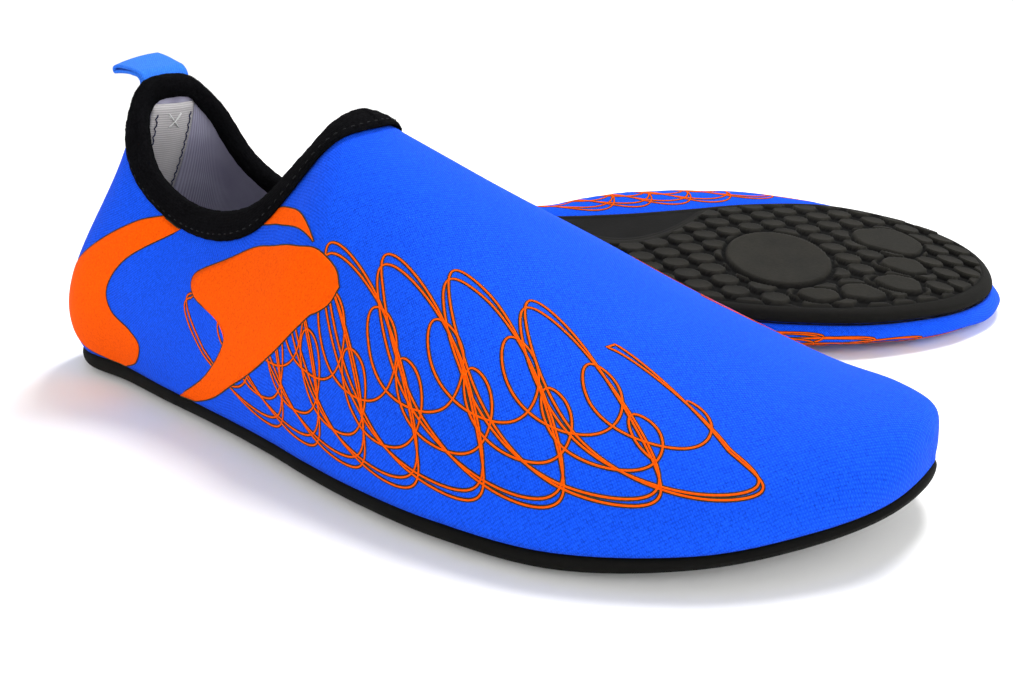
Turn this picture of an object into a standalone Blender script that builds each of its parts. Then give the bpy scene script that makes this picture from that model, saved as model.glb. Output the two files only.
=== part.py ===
"""A pair of low slip-on neoprene water shoes.

The right shoe stands on its outsole, toe towards +X and a little towards -Y. The left shoe lies
behind it upside down, with its soft upper squashed flat between the sole and the floor. Each shoe
is a moulded outsole under a lasted stack: strobel board, insole, stretch upper, lining, heel tape,
collar binding and a pull tab, with the threads that hold them.

A shoe is modelled in its own frame, in millimetres: X from heel tip to toe, Z up from the ground,
Y towards the inner side of the foot on the right shoe and mirrored on the left one. An empty per
shoe carries that frame into the pair's frame, whose origin is under the middle of the pair.
"""
import math

import bmesh
import bpy
import numpy as np
from mathutils import Euler, Matrix, Vector
from mathutils.bvhtree import BVHTree

MM = 0.001

# Layers of the upper, from outside to inside
FABRIC = 1.5            # stretch knit on thin foam
LINING = 0.6            # jersey
LAYER_GAP = 0.3         # left between any two pieces
SOLE_GAP = 0.6          # and between the upper's edge and the outsole
INNER_FACE = FABRIC + LAYER_GAP + LINING

# Layers of the bottom
FEATHER_Z = 6.0         # where upper meets outsole under the arch
BOARD = 0.8
INSOLE = 2.2
BOARD_INSET = 3.9
INSOLE_INSET = 6.0
TREAD_INSET = 9.3       # plain rim of the outsole around its tread
TREAD_STEP = 1.5        # how far the tread stands out of that rim
SPRING_START = 200.0    # the sole turns up from here to the toe
SPRING_RISE = 7.0
SPRING_LENGTH = 68.0

# Collar binding, folded over the rim
BINDING = 0.8
BINDING_WIDTH = 7.0
BINDING_GAP = 0.7

# Heel tape inside, and the thread of every seam
TAPE_WIDTH = 16.0
TAPE = 0.5
TAPE_GAP = 0.5          # between tape and lining
TAPE_SEAM = 6.0         # each stitch row from the middle of the tape
TAPE_ROWS = (1, 2, 3, 4, 5)   # rows of the wall's grid that it covers
THREAD = 0.6            # diameter

# Pull tab: a strap folded double
TAB_WIDTH = 18.0
TAB_LENGTH = 16.0
TAB_STRAP = 0.9
TAB_SLOT = 0.6
TAB_BINDING_GAP = 0.4

# Grid of the wall surface: columns to a rib, more of them where the rim turns, and rows to the rim
COLUMNS = 2
TURN_COLUMNS = 4
TURNS = ((2, 3), (6, 8))
ROWS = (0, 0.16, 0.33, 0.5, 0.67, 0.84, 1)

# Feather line, where upper meets sole: outer side x, y; inner side x, y; height
FEET = (
    (0, 0, 0, 0, 6),
    (5, -15.5, 5, 12, 6.5),
    (18, -24, 18, 21, 7),
    (40, -26.5, 40, 25, 7),
    (64, -31, 64, 26, 6.5),
    (88, -35, 88, 25, 6),
    (106, -38.5, 106, 26, 6),
    (122, -42, 122, 29, 6),
    (138, -46, 138, 33, 6),
    (158, -50, 158, 39.5, 6),
    (182, -52.5, 182, 47.5, 6),
    (210, -50.5, 212, 51, 6),
    (236, -39, 239, 46, 7.5),
    (253, -23.5, 256, 37, 10),
    (264, -6, 265, 27, 12),
    (268, 13, 268, 13, 14),
)
THROAT = 8              # rib at the front of the collar; beyond it both sides meet in a ridge
TOE = len(FEET) - 1
OUTER = sorted({k / COLUMNS for k in range(TOE * COLUMNS + 1)}
               | {k / TURN_COLUMNS for first, last in TURNS
                  for k in range(first * TURN_COLUMNS, last * TURN_COLUMNS)})
STATIONS = OUTER + [2 * TOE - rib for rib in reversed(OUTER[1:-1])]

# Upper of the worn shape: top x, y, half width, z; lower handle length and rise angle;
# upper handle length, fall angle and backward angle
STANDING = (
    (45, 0, 0, 92, 29, 86, 33, 80, 90),
    (44.5, -0.5, 9, 90, 27, 74, 35, 75, 70),
    (48, 0, 15.5, 81.5, 26, 66, 36, 68, 44),
    (56.5, 0, 19, 66.5, 24, 76, 27, 63, 20),
    (75, 0, 19.5, 57.5, 22, 84, 19, 59, 5),
    (99, -1, 19.5, 60, 22, 85, 20, 57, -8),
    (112, 0, 13, 73, 25, 86, 28, 42, -20),
    (117.5, 1, 7, 81.5, 26, 86, 32, 27, -28),
    (119, 2, 0, 84, 27, 86, 34, 17, -30),
    (141, 5.5, 0, 72, 26, 85, 33, 10, -24),
    (171, 9, 0, 57, 26, 84, 35, 6, -16),
    (204, 10, 0, 42, 20, 82, 33, 3, -8),
    (236, 11.5, 0, 30.5, 14, 80, 29, 0, 0),
    (255, 13.5, 0, 28, 11, 78, 22, 0, 0),
    (265, 13, 0, 25.5, 8, 74, 15, 0, 0),
    (268, 13, 0, 21, 3, 90, 3, 0, 0),
)

# Upper squashed on the floor: top x, y, half width, height over the floor; outer side's lower
# handle length and fall angle, upper handle; the same for the inner side; backward angle
FLATTENED = (
    (44, -2, 0, 2.9, 18, 24, 50, 18, 24, 50, 90),
    (45.5, -2, 12, 2.9, 18, 28, 44, 18, 14, 44, 82),
    (51, -2, 23, 2.9, 18, 32, 36, 18, 4, 36, 72),
    (64, -2, 30, 2.9, 17, 14, 12, 20, -10, 28, 52),
    (80, -3, 32, 2.9, 15, 10, 11, 24, -20, 24, 26),
    (96, -4, 29, 2.9, 13, 8, 14, 30, -28, 24, 4),
    (108, -4, 22, 2.9, 12, 8, 24, 36, -33, 32, -14),
    (116, -3, 12, 2.9, 12, 8, 38, 42, -36, 42, -26),
    (119, -2, 0, 2.9, 12, 10, 50, 45, -37, 50, -30),
    (145, 1, 0, 1.3, 13, 18, 54, 44, -36, 54, -16),
    (173, 4, 0, 0.4, 12, 24, 55, 38, -32, 56, -4),
    (204, 6, 0, 0.1, 12, 30, 51, 28, -22, 50, 0),
    (230, 9, 0, 0.1, 12, 34, 36, 18, -4, 38, 0),
    (248, 11, 0, 0.1, 11, 34, 26, 12, 16, 26, -20),
    (258, 12, 0, 0.1, 10, 34, 16, 10, 28, 16, -45),
    (262, 13, 0, 0.1, 10, 30, 10, 10, 30, 10, -90),
)

RIGHT_YAW = -34.5       # degrees; the left shoe's turn is its yaw, pitch and roll
LEFT_TURN = (-5.3, 2.3, 10.0)
LEFT_HEEL = (51.3, 41.9, 27.0)   # its feather line's heel, from the right shoe's heel


def degrees(angle):
    return math.radians(angle)


# ---------------------------------------------------------------- scene

def clear_scene():
    for obj in list(bpy.data.objects):
        bpy.data.objects.remove(obj, do_unlink=True)


def collection(name):
    group = bpy.data.collections.new(name)
    bpy.context.scene.collection.children.link(group)
    return group


def material(name, colour, roughness, metallic=0.0):
    made = bpy.data.materials.new(name)
    made.use_nodes = True
    shader = made.node_tree.nodes["Principled BSDF"]
    shader.inputs["Base Color"].default_value = (*colour, 1.0)
    shader.inputs["Roughness"].default_value = roughness
    shader.inputs["Metallic"].default_value = metallic
    return made


def put(name, data, shoe, finish, parent=None):
    """Name mesh or curve data as one node of a shoe and hang it in the shoe's frame."""
    obj = bpy.data.objects.new(shoe.name + "_" + name, data)
    data.materials.clear()
    data.materials.append(finish)
    PAIR.objects.link(obj)
    obj.parent = parent or shoe.frame
    return obj


def mesh_of(bm, name):
    mesh = bpy.data.meshes.new(name)
    bm.to_mesh(mesh)
    bm.free()
    mesh.shade_smooth()
    mesh.set_sharp_from_angle(angle=degrees(40))
    return mesh


# ---------------------------------------------------------------- the wall surface

class Shoe:
    """One shoe: its name, the sign of its inner side, its frame and its wall handles."""

    def __init__(self, name, side, matrix):
        self.name = name
        self.side = side
        self.frame = bpy.data.objects.new(name + "_frame", None)
        self.frame.empty_display_size = 0.05
        self.frame.matrix_world = matrix
        PAIR.objects.link(self.frame)
        self.matrix = matrix
        self.across = self.rim_direction()
        self.keys = self.standing_keys() if name == "right" else self.flattened_keys()
        self.wall, self.grid, self.rim = self.wall_grid()
        self.wall.normal_update()
        self.tree = BVHTree.FromBMesh(self.wall)

    def around(self):
        """Rib number and outer (-1) or inner (1) side, heel to toe and back to the heel."""
        outer = [(rib, -1) for rib in range(TOE + 1)]
        return outer + [(rib, 1) for rib in range(TOE - 1, 0, -1)]

    def feet(self):
        """Feather line points around the shoe, and the level directions out of them."""
        points = [FEET[rib][:2] if side < 0 else FEET[rib][2:4] for rib, side in self.around()]
        points = np.array(points, float)
        along = np.roll(points, -1, 0) - np.roll(points, 1, 0)
        out = np.column_stack([along[:, 1], -along[:, 0]])
        return points, out / np.linalg.norm(out, axis=1)[:, None]

    def rim_direction(self):
        """Level direction across the rim, written for the right foot's side."""
        across = self.matrix.to_3x3() @ Vector((0, self.side, 0))
        across.z = 0
        across = self.matrix.to_3x3().inverted() @ across.normalized()
        return np.array([across.x, across.y * self.side, across.z])

    def standing_keys(self):
        """Foot, top middle, top half width and both handles of every rib of the worn shape."""
        rows = []
        for (rib, side), foot, out in zip(self.around(), *self.feet()):
            x, y, half, z, low, rise, high, fall, back = STANDING[rib]
            rise, fall, back = degrees(rise), degrees(fall), degrees(back)
            lower = low * np.array([*(out * math.cos(rise)), math.sin(rise)])
            upper = high * np.array([-math.sin(back) * math.cos(fall),
                                     side * math.cos(back) * math.cos(fall), -math.sin(fall)])
            rows.append([*foot, FEET[rib][4], x, y, z, side * half, *lower, *upper])
        return np.array(rows)

    def flattened_keys(self):
        """The same for the squashed shape, whose tops and upper handles lie on the floor."""
        floor = self.matrix.inverted()
        rows = []
        for (rib, side), foot, out in zip(self.around(), *self.feet()):
            x, y, half, lift = FLATTENED[rib][:4]
            low, drop, high = FLATTENED[rib][4:7] if side < 0 else FLATTENED[rib][7:10]
            back, drop = degrees(FLATTENED[rib][10]), degrees(drop)
            lower = low * np.array([*(out * math.cos(drop)), math.sin(drop)])
            top = self.matrix @ Vector((x, self.side * y, FEATHER_Z))
            top.z = lift
            level = self.matrix.to_3x3() @ Vector((-math.sin(back),
                                                   self.side * side * math.cos(back), 0))
            level.z = 0
            upper = floor.to_3x3() @ (level.normalized() * high)
            top = floor @ top
            rows.append([*foot, FEET[rib][4], top.x, self.side * top.y, top.z, side * half,
                         *lower, upper.x, self.side * upper.y, upper.z])
        return np.array(rows)

    def surface(self, columns, rows):
        """Points of the wall at rib numbers (columns) and heights 0 to 1 (rows)."""
        at = np.asarray(columns, float)
        low = np.floor(at).astype(int)
        t = (at - low)[:, None]
        before, start, end, after = (self.keys[(low + k) % len(self.keys)] for k in (-1, 0, 1, 2))
        top, ridge = slice(3, 7), 2 * TOE - THROAT
        after[low == THROAT - 1, top] = self.keys[ridge + 1, top]
        before[low == ridge, top] = self.keys[THROAT - 1, top]
        before[low == THROAT, top] = (2 * start - end)[low == THROAT, top]
        after[low == ridge - 1, top] = (2 * end - start)[low == ridge - 1, top]
        key = start + 0.5 * t * (end - before + t * (2 * before - 5 * start + 4 * end - after
                                                     + t * (3 * start - before - 3 * end + after)))
        half = np.where(at <= TOE, np.minimum(key[:, 6], 0), np.maximum(key[:, 6], 0))
        foot = key[:, None, 0:3]
        top = (key[:, 3:6] + half[:, None] * self.across)[:, None]
        t = np.asarray(rows, float)[None, :, None]
        lower, upper = foot + key[:, None, 7:10], top + key[:, None, 10:13]
        points = (1 - t) ** 3 * foot + 3 * (1 - t) ** 2 * t * lower
        points = points + 3 * (1 - t) * t ** 2 * upper + t ** 3 * top
        return points * np.array([1, self.side, 1])

    def wall_grid(self):
        """Open wall mesh, its two sides sharing the ridge, its vertices and those of the rim."""
        count, top = len(STATIONS), len(ROWS) - 1
        toe, throat = STATIONS.index(TOE), STATIONS.index(THROAT)
        points = self.surface(STATIONS, ROWS)
        bm = bmesh.new()
        grid = []
        for column in range(count):
            line = [bm.verts.new(point) for point in points[column, :top]]
            shared = toe < column <= count - throat
            line.append(grid[count - column][top] if shared else bm.verts.new(points[column, top]))
            grid.append(line)
        for column in range(count):
            here, there = grid[column], grid[(column + 1) % count]
            for row in range(top):
                face = [here[row], there[row], there[row + 1], here[row + 1]]
                bm.faces.new(face if self.side > 0 else face[::-1])
        outer = [grid[column][top] for column in range(throat + 1)]
        inner = [grid[column][top] for column in range(count - throat + 1, count)]
        bmesh.ops.triangulate(bm, faces=bm.faces)
        bm.verts.index_update()
        return bm, grid, outer + inner

    def on_wall(self, point, offset):
        """The wall point nearest to a point, moved out of the wall by offset."""
        spot, normal, _, _ = self.tree.find_nearest(Vector(point))
        return spot + normal * offset


# ---------------------------------------------------------------- pieces

def shell(shoe, name, depth, thickness, finish):
    """A layer of the upper: the wall surface, moved in by depth and given a thickness."""
    mesh = bpy.data.meshes.new(name)
    copy = shoe.wall.copy()
    bmesh.ops.scale(copy, vec=(MM, MM, MM), verts=copy.verts)
    copy.to_mesh(mesh)
    copy.free()
    mesh.shade_smooth()
    obj = put(name, mesh, shoe, finish)
    if depth:
        inset = obj.modifiers.new("inset", "DISPLACE")
        inset.mid_level = 0
        inset.strength = -depth * MM
    layer = obj.modifiers.new("layer", "SOLIDIFY")
    layer.thickness = thickness * MM
    layer.offset = -1
    return obj


def ring_points(shoe, inset):
    """Feather line moved inwards by inset: points on the outer side, then back on the inner."""
    line = shoe.surface(STATIONS, [0])[:, 0]
    along = np.roll(line, -1, 0) - np.roll(line, 1, 0)
    out = np.column_stack([along[:, 1], -along[:, 0]]) * shoe.side
    out /= np.linalg.norm(out, axis=1)[:, None]
    line[:, :2] -= inset * out
    return line


def bottom_plate(shoe, rings):
    """A closed plate of stacked outlines (inset, height function), closed across at both ends."""
    bm = bmesh.new()
    loops = []
    for inset, height in rings:
        line = ring_points(shoe, inset)
        loops.append([bm.verts.new((x * MM, y * MM, height(x, z) * MM)) for x, y, z in line])
    count = len(loops[0])
    for lower, upper in zip(loops, loops[1:]):
        for k in range(count):
            after = (k + 1) % count
            bm.faces.new((lower[k], lower[after], upper[after], upper[k]))
    for loop in (loops[0], loops[-1]):
        for k in range(count // 2):
            across = [loop[k], loop[k + 1], loop[-k - 1], loop[-k]]
            bm.faces.new(list(dict.fromkeys(across)))
    bmesh.ops.recalc_face_normals(bm, faces=bm.faces)
    return bm


def ground(x):
    """Height of the tread's face: flat, then turning up to the toe."""
    return SPRING_RISE * (max(x - SPRING_START, 0) / SPRING_LENGTH) ** 2


def outsole(shoe, finish):
    rings = (
        (0.6, lambda x, z: z - SOLE_GAP),
        (-0.3, lambda x, z: z - 1.6),
        (-0.3, lambda x, z: ground(x) + 2.2),
        (1.2, lambda x, z: ground(x) + 1.1),
        (TREAD_INSET - 0.8, lambda x, z: ground(x) + TREAD_STEP),
        (TREAD_INSET, lambda x, z: ground(x)),
    )
    return put("outsole", mesh_of(bottom_plate(shoe, rings), "outsole"), shoe, finish)


def plate(shoe, name, inset, low, high, finish):
    """A board or insole between two heights over the feather line."""
    rings = ((inset, lambda x, z: z + low), (inset, lambda x, z: z + high))
    return put(name, mesh_of(bottom_plate(shoe, rings), name), shoe, finish)


def rim_frames(shoe):
    """At each rim vertex: the point, the wall's normal and the way down the wall."""
    frames = []
    count = len(shoe.rim)
    for k, vert in enumerate(shoe.rim):
        along = shoe.rim[(k + 1) % count].co - shoe.rim[k - 1].co
        inside = sum((face.calc_center_median() for face in vert.link_faces), Vector())
        inside = inside / len(vert.link_faces) - vert.co
        down = vert.normal.cross(along).normalized()
        frames.append((vert.co, vert.normal, down if down.dot(inside) > 0 else -down))
    for _ in range(2):
        frames = [(point, (frames[k - 1][1] + normal + frames[(k + 1) % count][1]).normalized(),
                   (frames[k - 1][2] + down + frames[(k + 1) % count][2]).normalized())
                  for k, (point, normal, down) in enumerate(frames)]
    return frames


def rim_spot(shoe, frame, along, offset):
    """A point this far down the wall from the rim, and this far out of it."""
    point, normal, down = frame
    if along <= 0:
        return point + down * along + normal * offset
    return shoe.on_wall(point + down * along, offset)


def collar_binding(shoe, finish):
    """Elastic tape in a U over the rim: a closed ring of one section."""
    outer, inner = BINDING_GAP, -INNER_FACE - BINDING_GAP
    over = -BINDING_GAP
    section = [(BINDING_WIDTH, outer), (BINDING_WIDTH, outer + BINDING)]
    section += [(BINDING_WIDTH / 2, outer + BINDING), (0, outer + BINDING)]
    section += [(over - 0.6, outer + 0.3), (over - 0.9, (outer + inner) / 2), (over - 0.6, inner - 0.3)]
    section += [(0, inner - BINDING), (BINDING_WIDTH / 2, inner - BINDING)]
    section += [(BINDING_WIDTH, inner - BINDING), (BINDING_WIDTH, inner)]
    section += [(BINDING_WIDTH / 2, inner), (0, inner), (over, inner + 0.4), (over, outer - 0.4)]
    section += [(0, outer), (BINDING_WIDTH / 2, outer)]
    bm = bmesh.new()
    loops = [[bm.verts.new(rim_spot(shoe, frame, *spot) * MM) for spot in section]
             for frame in rim_frames(shoe)]
    for here, there in zip(loops, loops[1:] + loops[:1]):
        for k in range(len(section)):
            after = (k + 1) % len(section)
            bm.faces.new((here[k], here[after], there[after], there[k]))
    bmesh.ops.recalc_face_normals(bm, faces=bm.faces)
    return put("collar_binding", mesh_of(bm, "collar_binding"), shoe, finish)


def thread(shoe, name, points, finish, closed=False, parent=None):
    """A seam's thread laid along points."""
    data = bpy.data.curves.new(name, "CURVE")
    data.dimensions = "3D"
    data.bevel_depth = THREAD / 2 * MM
    data.bevel_resolution = 0
    data.use_fill_caps = not closed
    spline = data.splines.new("POLY")
    spline.points.add(len(points) - 1)
    for spot, point in zip(spline.points, points):
        spot.co = (*(Vector(point) * MM), 1)
    spline.use_cyclic_u = closed
    return put(name, data, shoe, finish, parent)


def heel_spot(shoe, row, across, offset):
    """A point of the heel at a row of the grid, across from its middle and offset out of it."""
    low = min(int(row), len(ROWS) - 2)
    spots = []
    for middle, beside in ((shoe.grid[0][k], shoe.grid[1 if across < 0 else -1][k])
                           for k in (low, low + 1)):
        part = abs(across) / (beside.co - middle.co).length
        point = middle.co.lerp(beside.co, part)
        spots.append(point + middle.normal.lerp(beside.normal, part).normalized() * offset)
    return spots[0].lerp(spots[1], row - low)


def heel_tape(shoe, finish):
    """Tape over the heel seam, inside the lining."""
    depth = -INNER_FACE - TAPE_GAP
    bm = bmesh.new()
    columns = []
    for across in (-TAPE_WIDTH / 2, 0, TAPE_WIDTH / 2):
        spots = [heel_spot(shoe, row, across, depth) for row in TAPE_ROWS]
        columns.append([bm.verts.new(spot * MM) for spot in spots])
    for left, right in zip(columns, columns[1:]):
        for k in range(len(left) - 1):
            face = (left[k], right[k], right[k + 1], left[k + 1])
            bm.faces.new(face[::shoe.side])
    obj = put("heel_tape", mesh_of(bm, "heel_tape"), shoe, finish)
    layer = obj.modifiers.new("layer", "SOLIDIFY")
    layer.thickness = TAPE * MM
    layer.offset = 1
    return obj


def tab_pivot(shoe, rise, out, bend):
    """An empty where the tab bends, beside the binding: X along the tab, Y along the rim."""
    frame = rim_frames(shoe)[0]
    _, normal, down = frame
    along = normal * math.sin(degrees(bend)) - down * math.cos(degrees(bend))
    across = (shoe.rim[1].co - shoe.rim[-1].co).normalized() * -shoe.side
    along = (along - across * along.dot(across)).normalized()
    turn = Matrix((along, across, along.cross(across))).transposed()
    pivot = bpy.data.objects.new(shoe.name + "_tab_pivot", None)
    pivot.empty_display_size = 0.01
    pivot.parent = shoe.frame
    place = rim_spot(shoe, frame, -rise, out) * MM
    pivot.matrix_local = Matrix.Translation(place) @ turn.to_4x4()
    PAIR.objects.link(pivot)
    return pivot


def pull_tab(shoe, pivot, finish):
    """A strap folded double, lying along its own X from the pivot, with a slot in its loop."""
    half = TAB_STRAP + TAB_SLOT / 2
    slot = TAB_SLOT / 2
    end = TAB_LENGTH - half
    turn = [degrees(90 - 45 * k) for k in range(5)]
    outline = [(end + half * math.cos(a), half * math.sin(a)) for a in turn]
    outline += [(-half * math.cos(a), -half * math.sin(a)) for a in turn]
    hole = [(end + slot * math.cos(a), slot * math.sin(a)) for a in turn] + [(4, -slot), (4, slot)]
    data = bpy.data.curves.new("pull_tab", "CURVE")
    data.dimensions = "2D"
    data.fill_mode = "BOTH"
    data.extrude = TAB_WIDTH / 2 * MM
    for points in (outline, hole):
        spline = data.splines.new("POLY")
        spline.points.add(len(points) - 1)
        for spot, (x, z) in zip(spline.points, points):
            spot.co = (x * MM, z * MM, 0, 1)
        spline.use_cyclic_u = True
    obj = put("pull_tab", data, shoe, finish, pivot)
    obj.rotation_euler = (degrees(90), 0, 0)
    return obj


def tab_bartack(shoe, finish):
    """White bar of thread that holds the tab's ends, inside the heel under the binding."""
    depth = -INNER_FACE - LAYER_GAP - THREAD / 2
    points = [heel_spot(shoe, 5.2, across, depth) for across in (-3.5, 0, 3.5)]
    return thread(shoe, "tab_bartack", points, finish)


def build_shoe(shoe, tab_place):
    outsole(shoe, RUBBER)
    plate(shoe, "strobel_board", BOARD_INSET, LAYER_GAP, LAYER_GAP + BOARD, BOARD_FELT)
    low = 2 * LAYER_GAP + BOARD
    plate(shoe, "insole", INSOLE_INSET, low, low + INSOLE, INSOLE_FOAM)
    shell(shoe, "upper", 0, FABRIC, BLUE_KNIT)
    shell(shoe, "lining", FABRIC + LAYER_GAP, LINING, GREY_JERSEY)
    heel_tape(shoe, TAPE_GREY)
    depth = -INNER_FACE - TAPE_GAP - TAPE - LAYER_GAP - THREAD / 2
    for name, across in (("lateral", -TAPE_SEAM), ("medial", TAPE_SEAM)):
        points = [heel_spot(shoe, row, across, depth) for row in TAPE_ROWS]
        thread(shoe, "heel_tape_stitch_" + name, points, NAVY_THREAD)
    collar_binding(shoe, BLACK_ELASTIC)
    seam = BINDING_GAP + BINDING + LAYER_GAP + THREAD / 2
    points = [rim_spot(shoe, frame, BINDING_WIDTH - 1.4, seam) for frame in rim_frames(shoe)]
    thread(shoe, "binding_stitching", points, BLACK_THREAD, closed=True)
    pull_tab(shoe, tab_pivot(shoe, *tab_place), BLUE_TAPE)
    tab_bartack(shoe, WHITE_THREAD)
    points = [heel_spot(shoe, row, 0, LAYER_GAP + THREAD / 2) for row in (0.2, 1, 2, 3, 4, 5)]
    thread(shoe, "heel_seam_stitching", points, BLUE_THREAD)
    points = ring_points(shoe, INNER_FACE + LAYER_GAP + THREAD / 2)
    points[:, 2] += 2 * LAYER_GAP + THREAD / 2
    thread(shoe, "strobel_stitching", points, BLUE_THREAD, closed=True)


def centre_pair():
    """Move both shoes so that the origin is under the middle of the pair's box."""
    bpy.context.view_layer.update()
    graph = bpy.context.evaluated_depsgraph_get()
    corners = []
    for obj in PAIR.objects:
        if obj.type == "EMPTY":
            continue
        mesh = obj.evaluated_get(graph).to_mesh()
        co = np.empty(len(mesh.vertices) * 3)
        mesh.vertices.foreach_get("co", co)
        placed = np.array(obj.matrix_world)
        corners.append(co.reshape(-1, 3) @ placed[:3, :3].T + placed[:3, 3])
    corners = np.concatenate(corners)
    low, high = corners.min(0), corners.max(0)
    shift = Vector((*(-(low + high)[:2] / 2), -low[2]))
    for shoe in (RIGHT, LEFT):
        shoe.frame.matrix_world = Matrix.Translation(shift) @ shoe.frame.matrix_world
    bpy.context.view_layer.update()


clear_scene()
PAIR = collection("water_shoes")

BLUE_KNIT = material("blue_knit", (0.02, 0.08, 0.72), 0.75)
BLUE_TAPE = material("blue_tape", (0.03, 0.18, 0.85), 0.6)
GREY_JERSEY = material("grey_jersey", (0.20, 0.19, 0.28), 0.85)
TAPE_GREY = material("tape_grey", (0.42, 0.40, 0.44), 0.8)
BLACK_ELASTIC = material("black_elastic", (0.008, 0.009, 0.01), 0.75)
RUBBER = material("rubber", (0.012, 0.011, 0.01), 0.55)
BOARD_FELT = material("board_felt", (0.65, 0.64, 0.6), 0.95)
INSOLE_FOAM = material("insole_foam", (0.04, 0.04, 0.05), 0.9)
NAVY_THREAD = material("navy_thread", (0.01, 0.015, 0.06), 0.6)
BLACK_THREAD = material("black_thread", (0.01, 0.01, 0.012), 0.6)
BLUE_THREAD = material("blue_thread", (0.02, 0.07, 0.55), 0.6)
WHITE_THREAD = material("white_thread", (0.85, 0.85, 0.85), 0.6)

RIGHT = Shoe("right", 1, Euler((0, 0, degrees(RIGHT_YAW))).to_matrix().to_4x4())
YAW, PITCH, ROLL = (degrees(angle) for angle in LEFT_TURN)
UPTURNED = (Matrix.Translation(LEFT_HEEL) @ Matrix.Rotation(YAW, 4, "Z")
            @ Matrix.Rotation(PITCH, 4, "Y") @ Matrix.Rotation(ROLL + math.pi, 4, "X")
            @ Matrix.Translation((0, 0, -FEATHER_Z)))
LEFT = Shoe("left", -1, UPTURNED)
for one in (RIGHT, LEFT):
    placed = one.frame.matrix_world.copy()
    placed.translation = placed.translation * MM
    one.frame.matrix_world = placed
BESIDE = BINDING_GAP + BINDING + TAB_BINDING_GAP + TAB_STRAP + TAB_SLOT / 2
build_shoe(RIGHT, (0.8, BESIDE, 80))
build_shoe(LEFT, (BESIDE + 0.4, 1.2, -3))
centre_pair()
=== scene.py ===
"""A pair of low slip-on neoprene water shoes: the right one stands, the left one lies behind it
upside down. Every shoe is worked out in its own frame in millimetres, X from heel tip to toe and
Y to the inner side of the right foot, on the same ribs as the CAD, and then placed in the row
frame in metres."""
import math

import bmesh
import bpy
import numpy as np
from mathutils import Euler, Matrix, Vector
from mathutils.bvhtree import BVHTree


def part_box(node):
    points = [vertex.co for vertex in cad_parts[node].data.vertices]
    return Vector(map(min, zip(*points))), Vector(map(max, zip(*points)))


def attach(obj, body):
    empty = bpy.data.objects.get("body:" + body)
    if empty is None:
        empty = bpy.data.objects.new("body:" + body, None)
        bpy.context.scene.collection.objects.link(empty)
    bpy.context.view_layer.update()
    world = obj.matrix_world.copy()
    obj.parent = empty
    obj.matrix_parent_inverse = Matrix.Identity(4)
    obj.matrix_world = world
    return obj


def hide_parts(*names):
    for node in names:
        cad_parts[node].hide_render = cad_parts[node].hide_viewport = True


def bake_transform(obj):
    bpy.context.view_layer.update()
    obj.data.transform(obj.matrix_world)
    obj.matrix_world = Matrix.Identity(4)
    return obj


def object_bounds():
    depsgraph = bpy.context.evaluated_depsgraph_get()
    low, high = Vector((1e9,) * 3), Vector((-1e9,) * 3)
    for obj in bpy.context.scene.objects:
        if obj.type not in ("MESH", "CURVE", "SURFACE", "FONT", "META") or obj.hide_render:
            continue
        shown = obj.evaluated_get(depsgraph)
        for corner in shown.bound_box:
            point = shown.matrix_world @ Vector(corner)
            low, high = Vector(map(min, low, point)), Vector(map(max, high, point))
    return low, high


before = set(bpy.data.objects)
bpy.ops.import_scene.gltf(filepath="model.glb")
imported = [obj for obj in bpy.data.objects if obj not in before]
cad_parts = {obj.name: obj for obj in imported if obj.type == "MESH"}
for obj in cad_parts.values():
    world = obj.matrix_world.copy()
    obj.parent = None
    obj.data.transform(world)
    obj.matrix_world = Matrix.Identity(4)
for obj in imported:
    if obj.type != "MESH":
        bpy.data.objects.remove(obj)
cad_low, cad_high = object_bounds()

MM = 0.001

# The shoe's layers and ribs, as in the CAD
FABRIC = 1.5
LINING = 0.6
LAYER_GAP = 0.3
INNER_FACE = FABRIC + LAYER_GAP + LINING
FEATHER_Z = 6.0
SPRING_START = 200.0
SPRING_RISE = 7.0
SPRING_LENGTH = 68.0
THROAT = 8
TOE = 15

# Feather line: outer side x, y; inner side x, y; height
FEET = (
    (0, 0, 0, 0, 6),
    (5, -15.5, 5, 12, 6.5),
    (18, -24, 18, 21, 7),
    (40, -26.5, 40, 25, 7),
    (64, -31, 64, 26, 6.5),
    (88, -35, 88, 25, 6),
    (106, -38.5, 106, 26, 6),
    (122, -42, 122, 29, 6),
    (138, -46, 138, 33, 6),
    (158, -50, 158, 39.5, 6),
    (182, -52.5, 182, 47.5, 6),
    (210, -50.5, 212, 51, 6),
    (236, -39, 239, 46, 7.5),
    (253, -23.5, 256, 37, 10),
    (264, -6, 265, 27, 12),
    (268, 13, 268, 13, 14),
)

# Worn shape: top x, y, half width, z; lower handle length and rise; upper length, fall, back
STANDING = (
    (45, 0, 0, 92, 29, 86, 33, 80, 90),
    (44.5, -0.5, 9, 90, 27, 74, 35, 75, 70),
    (48, 0, 15.5, 81.5, 26, 66, 36, 68, 44),
    (56.5, 0, 19, 66.5, 24, 76, 27, 63, 20),
    (75, 0, 19.5, 57.5, 22, 84, 19, 59, 5),
    (99, -1, 19.5, 60, 22, 85, 20, 57, -8),
    (112, 0, 13, 73, 25, 86, 28, 42, -20),
    (117.5, 1, 7, 81.5, 26, 86, 32, 27, -28),
    (119, 2, 0, 84, 27, 86, 34, 17, -30),
    (141, 5.5, 0, 72, 26, 85, 33, 10, -24),
    (171, 9, 0, 57, 26, 84, 35, 6, -16),
    (204, 10, 0, 42, 20, 82, 33, 3, -8),
    (236, 11.5, 0, 30.5, 14, 80, 29, 0, 0),
    (255, 13.5, 0, 28, 11, 78, 22, 0, 0),
    (265, 13, 0, 25.5, 8, 74, 15, 0, 0),
    (268, 13, 0, 21, 3, 90, 3, 0, 0),
)

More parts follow.
